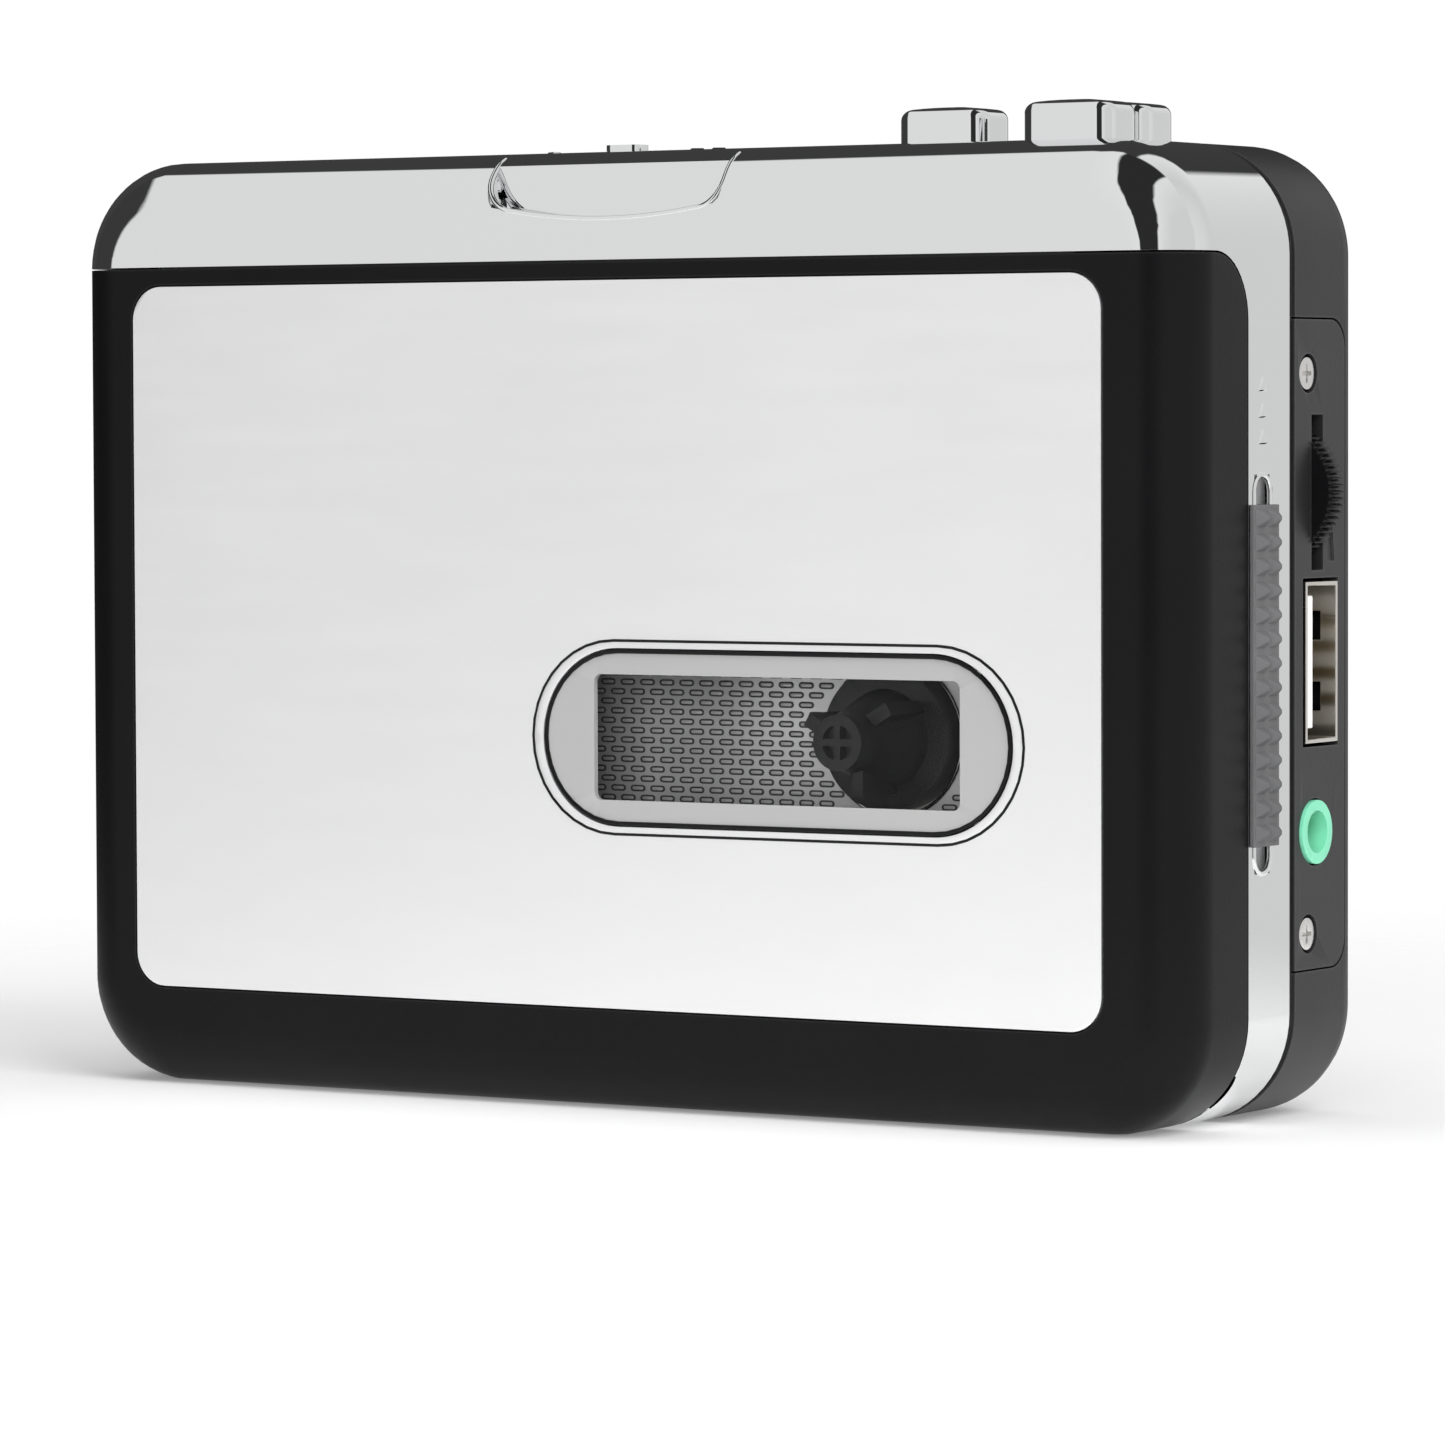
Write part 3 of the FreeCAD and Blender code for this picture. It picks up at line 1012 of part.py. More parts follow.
def usb_parts():
    """A USB-A socket: a folded can with two spring tabs, a tongue, and four contacts."""
    outside = box("UsbOutside", "usb_deep", "body_width / 2 + usb_lip", "usb_front", "usb_back",
                  "usb_low", "usb_high")
    inside = box("UsbInside", "usb_deep + usb_gauge", "body_width", "usb_front + usb_gauge",
                 "usb_back - usb_gauge", "usb_low + usb_gauge", "usb_high - usb_gauge")
    middle = "(usb_low + usb_high) / 2"
    lows = ((f"{middle} - latch_gap - latch_tall", "Low"), (f"{middle} + latch_gap", "High"))
    windows = [box("UsbWindow" + name, "latch_near", "latch_far", "usb_back - wall",
                   "usb_back + wall", low, f"{low} + latch_tall") for low, name in lows]
    tabs = [box("UsbTab" + name, "latch_near - 4 * fit", "latch_far - post_rad",
                "usb_back - usb_gauge - 3 * fit", "usb_back - usb_gauge + 3 * fit",
                f"{low} + 10 * fit", f"{low} + latch_tall - 10 * fit") for low, name in lows]
    node("usb_shell", fuse("UsbShell", [cut("UsbCan", outside, [inside] + windows)] + tabs))
    tongue = "usb_front + tongue_front"
    node("usb_tongue", box("UsbTongue", "usb_deep + usb_gauge", "tongue_end", tongue,
                           f"{tongue} + tongue_thick", "usb_low + tongue_inset",
                           "usb_high - tongue_inset"))
    contacts = []
    for number in range(4):
        centre = f"{middle} + ({number} - 3 / 2) * contact_pitch"
        contacts.append(box(f"UsbContact{number}", "usb_deep + 2 * wall", "tongue_end - 5 * usb_lip",
                            f"{tongue} + tongue_thick", f"{tongue} + tongue_thick + contact_thick",
                            f"{centre} - contact_wide / 2", f"{centre} + contact_wide / 2"))
    node("usb_contacts", group("UsbContacts", contacts))


def jack_parts():
    line_of = ("x", "jack_row", "jack_up")
    block_end = "panel_face - panel_thick - seam"
    block = box("JackBlock", "jack_end - panel_thick", block_end, "jack_row - jack_half",
                "jack_row + jack_half", "jack_up - jack_half", "jack_up + jack_half")
    seat_hole = rod("JackSeat", *line_of, "jack_barrel", "jack_end", "body_width")
    node("jack_body", cut("JackBody", block, [seat_hole]))
    collar = rod("JackCollar", *line_of, "jack_rad", f"{block_end} + fit", "jack_face")
    barrel = rod("JackBarrel", *line_of, "jack_barrel", "jack_end", f"{block_end} + fit")
    bore = rod("JackBore", *line_of, "jack_bore", "jack_stop", "body_width")
    node("jack_sleeve", cut("JackSleeve", fuse("JackSolid", [collar, barrel]), [bore]))


def electronics():
    thick = ("board_front", "board_back")
    main = box("BoardMain", "board_left", "board_right", *thick, "board_low", "board_high")
    strip = box("BoardStrip", "board_neck", "board_right", *thick, "board_high - wall", "board_top")
    node("main_board", fuse("MainBoard", [main, strip]))

    def package(name, along, up, long, tall, thick):
        """A part on the board's front, placed by its lower left corner on the board."""
        side, foot = f"board_left + {along}", f"board_low + {up}"
        return box(name, side, f"{side} + {long}", f"board_front - {thick}", "board_front", foot,
                   f"{foot} + {tall}")

    def capacitor(name, along, up):
        return rod(name, "y", f"board_left + {along}", f"board_low + {up}", "capacitor_rad",
                   "board_front - capacitor_tall", "board_front")

    node("board_parts", group("BoardParts", [
        package("ChipLarge", 5, 6, 7, 7, 1.2), package("ChipSmall", 16, 4, 5, 4, 1),
        package("ChipMemory", 4, 18, 6, 10, 1.1), package("Crystal", 15, 11, 9, 3.5, 3.2),
        capacitor("CapacitorA", 18, 20), capacitor("CapacitorB", 26, 23)]))


def power():
    """Two cells side by side, each between a flat contact and a spring contact."""
    cells, contacts = [], []
    spread = ("contact_front", "contact_back")
    for up, name in (("cell_low", "Low"), ("cell_high", "High")):
        can = rod(f"Cell{name}Can", "x", "cell_row", up, "cell_rad", "cell_left", "cell_right")
        stud = rod(f"Cell{name}Stud", "x", "cell_row", up, "stud_rad", "cell_right",
                   "cell_right + stud_long")
        cells.append(fuse("Cell" + name, [can, stud]))
        tall = (f"{up} - contact_half", f"{up} + contact_half")
        plus = "cell_right + stud_long + fit"
        contacts.append(box("Plus" + name, plus, f"{plus} + leaf_gauge", *spread, *tall))
        minus = "cell_left - fit - spring_long"
        back = box("Minus" + name, f"{minus} - leaf_gauge", minus, *spread, *tall)
        spring = cone("MinusSpring" + name, "x", "cell_row", up, "contact_half - shaft_rad",
                      "shaft_rad * 2", minus, "cell_left - fit")
        contacts.append(fuse("MinusContact" + name, [back, spring]))
    node("battery_cells", group("BatteryCells", cells))
    node("battery_contacts", group("BatteryContacts", contacts))


def build():
    shell = front_shell()
    dish = rear_dish()
    chrome_frame(shell)
    rear_shell(dish)
    battery_cover(dish)
    side_panel()
    screws()
    door(shell)
    door_trim()
    door_fittings()
    well_plate()
    chassis_plate()
    drive()
    head_parts()
    pinch_parts()
    keys()
    head_bay_cover()
    control_nub()
    open_slider()
    volume_parts()
    usb_parts()
    jack_parts()
    electronics()
    power()
    doc.recompute()


def check_and_write():
    for feature in doc.Objects:
        if "Invalid" in feature.State or "Error" in feature.State:
            raise RuntimeError(f"{feature.Name} failed: {feature.State}")
    os.makedirs("parts", exist_ok=True)
    for feature in NODES:
        shape = feature.Shape
        if shape.isNull() or not shape.isValid():
            raise RuntimeError(f"{feature.Label} has no valid shape")
        shape.exportStep(os.path.join("parts", feature.Label + ".step"))
        print(f"{feature.Label}: {len(shape.Solids)} solid(s), {shape.Volume:.1f} mm3")
    print(len(NODES), "nodes")


build()
check_and_write()
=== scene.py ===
import json
import math

import bmesh
import bpy
from mathutils import Matrix, Vector


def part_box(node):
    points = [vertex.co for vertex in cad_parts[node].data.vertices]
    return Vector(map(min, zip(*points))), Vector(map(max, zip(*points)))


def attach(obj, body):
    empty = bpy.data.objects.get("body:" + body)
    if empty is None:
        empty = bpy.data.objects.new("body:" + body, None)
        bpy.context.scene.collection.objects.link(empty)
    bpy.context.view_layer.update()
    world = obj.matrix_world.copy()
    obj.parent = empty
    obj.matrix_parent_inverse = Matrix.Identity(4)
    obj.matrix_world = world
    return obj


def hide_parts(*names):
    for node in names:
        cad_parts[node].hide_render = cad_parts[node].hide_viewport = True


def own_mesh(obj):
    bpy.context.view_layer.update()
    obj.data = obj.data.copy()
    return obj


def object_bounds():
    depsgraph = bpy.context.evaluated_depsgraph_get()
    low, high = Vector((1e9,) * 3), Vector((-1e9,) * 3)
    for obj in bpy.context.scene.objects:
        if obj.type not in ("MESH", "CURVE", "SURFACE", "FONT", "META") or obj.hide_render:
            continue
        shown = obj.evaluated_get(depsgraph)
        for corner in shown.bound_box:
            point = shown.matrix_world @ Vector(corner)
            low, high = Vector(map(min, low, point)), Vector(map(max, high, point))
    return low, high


# The looks of a pocket cassette player, in metres, in the CAD model's frame:
# +X to the right, +Y to the back, +Z up, standing on z = 0, its door facing -Y.

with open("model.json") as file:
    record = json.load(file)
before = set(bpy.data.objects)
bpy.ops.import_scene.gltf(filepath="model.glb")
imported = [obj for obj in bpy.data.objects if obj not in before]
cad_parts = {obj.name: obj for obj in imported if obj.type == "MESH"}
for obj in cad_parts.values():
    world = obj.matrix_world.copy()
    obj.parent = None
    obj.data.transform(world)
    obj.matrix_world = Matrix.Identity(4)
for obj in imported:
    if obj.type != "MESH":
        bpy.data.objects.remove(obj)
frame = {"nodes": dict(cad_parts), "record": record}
cad_low, cad_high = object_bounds()

MM = 0.001
FIT = 0.05 * MM  # the clearance between parts that touch
NODES = frame["nodes"]
CASE_MIDDLE = (cad_low + cad_high) / 2
RIGHT, OUT, UP = Vector((1, 0, 0)), Vector((0, -1, 0)), Vector((0, 0, 1))


def low(node):
    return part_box(node)[0]


def high(node):
    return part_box(node)[1]


def middle(node):
    return (low(node) + high(node)) / 2


# ---- camera and light ------------------------------------------------------------------------

def toward(azimuth, elevation):
    """A direction: degrees from the door's side towards +X, and degrees up."""
    a, e = math.radians(azimuth), math.radians(elevation)
    return Vector((math.sin(a) * math.cos(e), -math.cos(a) * math.cos(e), math.sin(e)))


def add_camera():
    """A long lens, a little to the right of the door and a little above it."""
    azimuth, elevation, roll = 32.398, 2.550, math.radians(-0.2017)
    distance, target = 0.6069, Vector((0.00228, 0, 0.03286))
    back = toward(azimuth, elevation)
    right = UP.cross(back).normalized()
    up = back.cross(right)
    side = math.cos(roll) * right + math.sin(roll) * up
    top = math.cos(roll) * up - math.sin(roll) * right
    data = bpy.data.cameras.new("camera")
    data.lens = 172.57
    data.sensor_width = 36
    data.clip_end = 20
    camera = bpy.data.objects.new("camera", data)
    bpy.context.scene.collection.objects.link(camera)
    turn = Matrix((side, top, back)).transposed().to_4x4()
    camera.matrix_world = Matrix.Translation(target + back * distance) @ turn
    bpy.context.scene.camera = camera


def area_light(name, azimuth, elevation, distance, size, power):
    """A soft square light that looks at the middle of the case."""
    data = bpy.data.lights.new(name, "AREA")
    data.size = size
    data.energy = power
    light = bpy.data.objects.new(name, data)
    bpy.context.scene.collection.objects.link(light)
    light.location = CASE_MIDDLE + toward(azimuth, elevation) * distance
    light.rotation_euler = toward(azimuth, elevation).to_track_quat("Z", "Y").to_euler()
    light.visible_glossy = False  # its square would show in the chrome


def grey_ramp(tree, value, stops):
    """A colour ramp through (position, grey level) pairs."""
    ramp = tree.nodes.new("ShaderNodeValToRGB")
    tree.links.new(value, ramp.inputs[0])
    elements = ramp.color_ramp.elements
    while len(elements) < len(stops):
        elements.new(0.5)
    for element, (position, level) in zip(elements, stops):
        element.position = position
        element.color = (level, level, level, 1)
    return ramp.outputs[0]


def map_range(tree, value, from_low, from_high, to_low=0, to_high=1):
    """A Map Range node's result."""
    node = tree.nodes.new("ShaderNodeMapRange")
    node.inputs["From Min"].default_value = from_low
    node.inputs["From Max"].default_value = from_high
    node.inputs["To Min"].default_value = to_low
    node.inputs["To Max"].default_value = to_high
    tree.links.new(value, node.inputs["Value"])
    return node.outputs[0]


def studio_cards(tree):
    """The grey level of the studio in each direction.

    In front there is a white card on the left and another on the right with a dark screen
    between them; behind, the right half is white and the left half is dark.
    """
    # (the direction's X, grey level)
    front_cards = [(-1, 0.05), (-0.71, 0.05), (-0.67, 0.90), (-0.17, 0.96), (-0.14, 0.03),
                   (0.42, 0.03), (0.46, 0.95), (0.8, 0.8), (1, 0.8)]
    back_cards = [(-1, 0.06), (-0.04, 0.05), (0.02, 0.95), (0.5, 0.78), (1, 0.9)]
    behind_from, behind_to = 0.14, 0.19  # the direction's Y where the cards behind take over
    coords = tree.nodes.new("ShaderNodeTexCoord")
    split = tree.nodes.new("ShaderNodeSeparateXYZ")
    tree.links.new(coords.outputs["Generated"], split.inputs[0])
    across = map_range(tree, split.outputs["X"], -1, 1)
    front, back = (grey_ramp(tree, across, [((x + 1) / 2, level) for x, level in cards])
                   for cards in (front_cards, back_cards))
    both = tree.nodes.new("ShaderNodeMix")
    both.data_type = "RGBA"
    behind = map_range(tree, split.outputs["Y"], behind_from, behind_to)
    tree.links.new(behind, both.inputs["Factor"])
    tree.links.new(front, both.inputs["A"])
    tree.links.new(back, both.inputs["B"])
    return both.outputs["Result"]


def add_world():
    """A studio that lights the object and draws bands in its chrome, on a white backdrop."""
    world = bpy.data.worlds.new("studio")
    bpy.context.scene.world = world
    world.use_nodes = True
    tree = world.node_tree
    tree.nodes.clear()
    out = tree.nodes.new("ShaderNodeOutputWorld")
    seen = tree.nodes.new("ShaderNodeBackground")
    seen.inputs["Color"].default_value = (1, 1, 1, 1)
    lit = tree.nodes.new("ShaderNodeBackground")
    lit.inputs["Strength"].default_value = 0.85
    path = tree.nodes.new("ShaderNodeLightPath")
    mix = tree.nodes.new("ShaderNodeMixShader")
    tree.links.new(studio_cards(tree), lit.inputs["Color"])
    tree.links.new(path.outputs["Is Camera Ray"], mix.inputs[0])
    tree.links.new(lit.outputs[0], mix.inputs[1])
    tree.links.new(seen.outputs[0], mix.inputs[2])
    tree.links.new(mix.outputs[0], out.inputs["Surface"])


def add_floor():
    """A pale disc that fades into the white backdrop."""
    radius, fade_from, fade_to = 0.7, 0.05, 0.26
    mesh = bpy.data.meshes.new("floor")
    grid = bmesh.new()
    bmesh.ops.create_circle(grid, cap_ends=True, segments=96, radius=radius)
    grid.to_mesh(mesh)
    grid.free()
    floor = bpy.data.objects.new("floor", mesh)
    bpy.context.scene.collection.objects.link(floor)
    material = bpy.data.materials.new("floor_white")
    material.use_nodes = True
    tree = material.node_tree
    shader = tree.nodes["Principled BSDF"]
    shader.inputs["Base Color"].default_value = (0.8, 0.8, 0.8, 1)
    shader.inputs["Roughness"].default_value = 0.7
    shader.inputs["Specular IOR Level"].default_value = 0.1
    shader.inputs["Emission Color"].default_value = (1, 1, 1, 1)
    shader.inputs["Emission Strength"].default_value = 0.2
    coords = tree.nodes.new("ShaderNodeTexCoord")
    length = tree.nodes.new("ShaderNodeVectorMath")
    length.operation = "LENGTH"
    tree.links.new(coords.outputs["Object"], length.inputs[0])
    fade = tree.nodes.new("ShaderNodeMapRange")
    fade.interpolation_type = "SMOOTHSTEP"
    fade.inputs["From Min"].default_value = fade_from
    fade.inputs["From Max"].default_value = fade_to
    fade.inputs["To Min"].default_value = 1
    fade.inputs["To Max"].default_value = 0
    tree.links.new(length.outputs["Value"], fade.inputs["Value"])
    tree.links.new(fade.outputs[0], shader.inputs["Alpha"])
    mesh.materials.append(material)


# ---- materials -------------------------------------------------------------------------------

# noise stretched along one axis, for drawn, turned and ground metal
ALONG_X, ALONG_Y, ALONG_Z = (0.05, 1, 1), (1, 0.05, 1), (1, 1, 0.05)


class Surface:
    """A Principled material with a few procedural details added by name."""

    def __init__(self, name, base, roughness, metallic=0.0, specular=0.5):
        self.material = bpy.data.materials.new(name)
        self.material.use_nodes = True
        self.tree = self.material.node_tree
        self.shader = self.tree.nodes["Principled BSDF"]
        self.base = base
        self.roughness = roughness
        self.shader.inputs["Base Color"].default_value = (*base, 1)
        self.shader.inputs["Roughness"].default_value = roughness
        self.shader.inputs["Metallic"].default_value = metallic
        self.shader.inputs["Specular IOR Level"].default_value = specular
        self.coords = self.tree.nodes.new("ShaderNodeTexCoord")
        self.normal = None

    def noise(self, scale, detail=3, stretch=(1, 1, 1)):
        """Noise in the object's own metres."""
        mapping = self.tree.nodes.new("ShaderNodeMapping")
        mapping.inputs["Scale"].default_value = stretch
        self.tree.links.new(self.coords.outputs["Object"], mapping.inputs[0])
        node = self.tree.nodes.new("ShaderNodeTexNoise")
        node.inputs["Scale"].default_value = scale
        node.inputs["Detail"].default_value = detail
        self.tree.links.new(mapping.outputs[0], node.inputs["Vector"])
        return node.outputs["Fac"]

    def spread(self, value, low_value, high_value, start=0.3, end=0.7):
        """Stretches the middle of a noise to run from one value to another."""
        return map_range(self.tree, value, start, end, low_value, high_value)

    def edge_agreement(self):
        """1 on open surfaces, and less within a hair of an edge."""
        averaged = self.tree.nodes.new("ShaderNodeBevel")
        averaged.samples = 4
        averaged.inputs["Radius"].default_value = 0.3 * MM
        own = self.tree.nodes.new("ShaderNodeNewGeometry")
        agree = self.tree.nodes.new("ShaderNodeVectorMath")
        agree.operation = "DOT_PRODUCT"
        self.tree.links.new(averaged.outputs[0], agree.inputs[0])
        self.tree.links.new(own.outputs["Normal"], agree.inputs[1])
        return agree.outputs["Value"]

    def vary_roughness(self, scale, amount, stretch=(1, 1, 1)):
        """Makes some patches duller than others."""
        value = self.spread(self.noise(scale, stretch=stretch), self.roughness - amount,
                            self.roughness + amount)
        self.tree.links.new(value, self.shader.inputs["Roughness"])
        return self

    def vary_colour(self, scale, amount, worn=None):
        """Mixes the base with a lighter tone, in soft patches and along worn edges."""
        tone = [min(1, level * (1 + amount)) for level in self.base]
        mix = self.tree.nodes.new("ShaderNodeMix")
        mix.data_type = "RGBA"
        mix.inputs["A"].default_value = (*self.base, 1)
        mix.inputs["B"].default_value = (*tone, 1)
        self.tree.links.new(self.spread(self.noise(scale), 0, 1), mix.inputs["Factor"])
        colour = mix.outputs["Result"]
        if worn:
            wear = self.tree.nodes.new("ShaderNodeMix")
            wear.data_type = "RGBA"
            wear.inputs["B"].default_value = (*worn, 1)
            most_wear, sharp_edge, no_edge = 0.6, 0.85, 0.985
            sharp = self.spread(self.edge_agreement(), most_wear, 0, sharp_edge, no_edge)
            self.tree.links.new(sharp, wear.inputs["Factor"])
            self.tree.links.new(colour, wear.inputs["A"])
            colour = wear.outputs["Result"]
        self.tree.links.new(colour, self.shader.inputs["Base Color"])
        return self

    def bump(self, scale, strength, detail=2, stretch=(1, 1, 1)):
        """Adds a grain to the surface, over any grain it has."""
        node = self.tree.nodes.new("ShaderNodeBump")
        node.inputs["Strength"].default_value = strength
        node.inputs["Distance"].default_value = 0.05 * MM
        self.tree.links.new(self.noise(scale, detail, stretch), node.inputs["Height"])
        if self.normal:
            self.tree.links.new(self.normal, node.inputs["Normal"])
        self.normal = node.outputs[0]
        self.tree.links.new(self.normal, self.shader.inputs["Normal"])
        return self


def moulded(name, base, roughness, grain=4200, worn=None, depth=0.35, shine=0.5):
    """Satin moulded plastic: a fine spark-eroded grain and faint handling marks."""
    surface = Surface(name, base, roughness, specular=shine)
    surface.vary_colour(60, 0.18, worn)
    surface.vary_roughness(45, 0.05)
    surface.bump(grain, depth)
    return surface.material


def metal(name, base, roughness, stretch=(1, 1, 1), scratch=900, depth=0.15):
    """Bare or plated metal with fine directional scratches."""
    surface = Surface(name, base, roughness, metallic=1.0)
    surface.vary_colour(140, 0.08)
    surface.vary_roughness(200, roughness * 0.3, stretch)
    surface.bump(scratch, depth, stretch=stretch)
    return surface.material


def pressed_steel():
    """Bright dull-plated sheet: half of its look is a soft sheen, half plain paleness."""
    surface = Surface("well_steel", (0.88, 0.88, 0.885), 0.34, metallic=0.4)
    surface.vary_colour(140, 0.08)
    surface.vary_roughness(200, 0.08, ALONG_X)
    surface.bump(1500, 0.12, stretch=ALONG_X)
    return surface.material


def chrome_plating():
    surface = Surface("chrome_plating", (0.88, 0.885, 0.89), 0.03, metallic=1.0)
    surface.vary_roughness(30, 0.012)
    surface.bump(12, 0.03, detail=1)
    return surface.material


def silver_plate():
    surface = Surface("silver_plate", (0.88, 0.88, 0.885), 0.32, metallic=0.7)
    surface.vary_colour(25, 0.03)
    surface.vary_roughness(70, 0.03, (1, 1, 8))
    surface.bump(5200, 0.06)
    return surface.material


def clear_plastic():
    surface = Surface("clear_plastic", (0.03, 0.03, 0.03), 0.04)
    surface.vary_roughness(50, 0.02)
    surface.shader.inputs["Alpha"].default_value = 0.10
    return surface.material


def grey_print():
    surface = Surface("grey_print", (0.37, 0.37, 0.37), 0.22)
    surface.vary_colour(30, 0.05)
    surface.shader.inputs["Coat Weight"].default_value = 0.6
    surface.shader.inputs["Coat Roughness"].default_value = 0.05
    return surface.material


def soft_rubber(name, base, roughness=0.62):
    surface = Surface(name, base, roughness)
    surface.vary_colour(90, 0.25)
    surface.vary_roughness(150, 0.06)
    surface.bump(2600, 0.3)
    return surface.material


def green_plastic():
    surface = Surface("green_plastic", (0.20, 0.64, 0.42), 0.3)
    surface.vary_colour(300, 0.12)
    surface.vary_roughness(260, 0.05)
    surface.shader.inputs["Subsurface Weight"].default_value = 0.12
    surface.shader.inputs["Subsurface Radius"].default_value = (0.001, 0.002, 0.001)
    return surface.material


def board_green():
    surface = Surface("solder_mask", (0.015, 0.13, 0.06), 0.3)
    surface.vary_colour(500, 0.5)
    surface.bump(700, 0.3)
    return surface.material


def painted_dash_shade():
    """Painted shade: a dark flat sheet round each dash, standing in for the shade along its pressed
    edge.
    """
    surface = Surface("painted_dash_shade", (0.10, 0.10, 0.105), 0.4, metallic=0.5)
    surface.vary_colour(400, 0.3)
    surface.vary_roughness(300, 0.08)
    return surface.material


def make_materials():
    """One finished material for each slot of the record."""
    return {
        "chrome": chrome_plating(),
        "rear_black": moulded("rear_black", (0.016, 0.016, 0.0168), 0.42, worn=(0.07, 0.07, 0.07),
                              shine=0.35),
        "panel_black": moulded("panel_black", (0.016, 0.016, 0.0168), 0.38, worn=(0.08, 0.08, 0.08),
                               shine=0.4),
        "door_black": moulded("door_black", (0.0045, 0.0045, 0.005), 0.36, grain=5200,
                              worn=(0.03, 0.03, 0.03), depth=0.22, shine=0.14),
        "satin_plate": silver_plate(),
        "mask_grey": grey_print(),
        "clear_lens": clear_plastic(),
        "inner_black": moulded("inner_black", (0.010, 0.010, 0.0105), 0.34, grain=2600),
        "slider_grey": soft_rubber("slider_grey", (0.105, 0.105, 0.108)),
        "screw_steel": metal("nickel_plate", (0.78, 0.77, 0.75), 0.22, depth=0.1),
        "shaft_steel": metal("ground_steel", (0.72, 0.72, 0.73), 0.16, ALONG_Z),
        "spring_steel": metal("spring_steel", (0.5, 0.5, 0.52), 0.28),
        "well_steel": pressed_steel(),
        "zinc_plate": metal("zinc_plate", (0.62, 0.63, 0.66), 0.3, ALONG_X, 700),
        "motor_steel": metal("motor_steel", (0.55, 0.56, 0.58), 0.3, ALONG_Y, 800),
        "head_metal": metal("head_metal", (0.78, 0.78, 0.8), 0.12, ALONG_X, 1200),
        "flywheel_brass": metal("flywheel_brass", (0.72, 0.53, 0.25), 0.24, ALONG_Y, 900),
        "bearing_brass": metal("bearing_brass", (0.75, 0.56, 0.28), 0.28, ALONG_Y, 900),
        "gear_white": moulded("gear_white", (0.78, 0.77, 0.72), 0.42, grain=2000),
        "belt_rubber": soft_rubber("belt_rubber", (0.02, 0.02, 0.02), 0.7),
        "usb_nickel": metal("usb_nickel", (0.74, 0.71, 0.66), 0.24, ALONG_X, 900),
        "tongue_white": moulded("tongue_white", (0.93, 0.92, 0.88), 0.4, grain=2000),
        "contact_gold": metal("contact_gold", (0.86, 0.66, 0.30), 0.22, ALONG_X),
        "jack_green": green_plastic(),
        "board_green": board_green(),
        "chip_black": moulded("chip_black", (0.03, 0.03, 0.03), 0.55, grain=1500),
        "cell_wrap": moulded("cell_wrap", (0.09, 0.09, 0.1), 0.25, grain=900),
    }


MATERIALS = make_materials()
SLOT_OF = {part["node"]: part["material_slot"] for part in frame["record"]["subparts"]}
# nodes with the finish of a slot other than their own
FINISH_OF = {"volume_wheel": "door_black"}
# widths of the rounded edges in mm, where they aren't the usual one; the springs have none,
# because coils take their place
EDGE = 0.1
EDGES = {"jack_sleeve": 0.3, "side_panel_screws": 0.25, "case_screws": 0.3, "control_nub": 0.2,
         "volume_wheel": 0.08, "take_up_spindle": 0.2, "supply_spindle": 0.2, "door": 0.15,
         "side_panel": 0.15, "usb_contacts": 0.03, "window_ring": 0.06, "window_mask": 0.03,
         "window_lens": 0.05, "take_up_gear": 0.04, "supply_gear": 0.04, "idler_gear": 0.04,
         "capstan_pinion": 0.04, "play_spring": 0, "forward_spring": 0, "stop_spring": 0,
         "latch_spring": 0}


def round_edges(thing, width, sharpest):
    """Rounds edges by a width in mm where they turn by more than an angle in degrees."""
    if width:
        bevel = thing.modifiers.new("edges", "BEVEL")
        bevel.width = width * MM
        bevel.segments = 3
        bevel.limit_method = "ANGLE"
        bevel.angle_limit = math.radians(sharpest)
    flat = thing.modifiers.new("normals", "WEIGHTED_NORMAL")
    flat.mode = "FACE_AREA"


def dress_cad(node):
    """Gives a CAD node its material, smooth faces and a small rounded edge."""
    thing = NODES[node]
    thing.data.materials.clear()
    thing.data.materials.append(MATERIALS[FINISH_OF.get(node, SLOT_OF[node])])
    if "custom_normal" in thing.data.attributes:
        thing.data.attributes.remove(thing.data.attributes["custom_normal"])
    thing.data.shade_smooth()
    weld = thing.modifiers.new("weld", "WELD")
    weld.merge_threshold = 0.004 * MM
    round_edges(thing, EDGES.get(node, EDGE), 34)


# ---- pieces ----------------------------------------------------------------------------------

def make_piece(name, points, faces, material, body, bevel=0):
    """A mesh object in the CAD frame that rides on one of the bodies."""
    mesh = bpy.data.meshes.new(name)
    mesh.from_pydata([tuple(point) for point in points], [], faces)
    mesh.validate()
    mesh.shade_smooth()
    mesh.materials.append(material)
    piece = bpy.data.objects.new(name, mesh)
    bpy.context.scene.collection.objects.link(piece)
    round_edges(piece, bevel, 30)
    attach(piece, body)
    return piece


def raise_outline(points, faces, outline, normal, height, shrink, centre):
    """Adds a low block: an outline on a surface, drawn in towards its centre as it rises."""
    first = len(points)
    count = len(outline)
    points += outline
    points += [centre + (spot - centre) * shrink + normal * height for spot in outline]
    for side in range(count):
        after = (side + 1) % count
        faces.append((first + side, first + after, first + count + after, first + count + side))
    faces.append(tuple(first + count + side for side in range(count)))


def add_block(points, faces, corner, opposite):
    """Adds a plain block between two opposite corners."""
    first = len(points)
    for x in (corner.x, opposite.x):
        points.extend([Vector((x, corner.y, corner.z)), Vector((x, opposite.y, corner.z)),
                       Vector((x, opposite.y, opposite.z)), Vector((x, corner.y, opposite.z))])
    a, b = first, first + 4
    faces.extend([(a, a + 3, a + 2, a + 1), (b, b + 1, b + 2, b + 3)])
    for side in range(4):
        after = (side + 1) % 4
        faces.append((a + side, a + after, b + after, b + side))


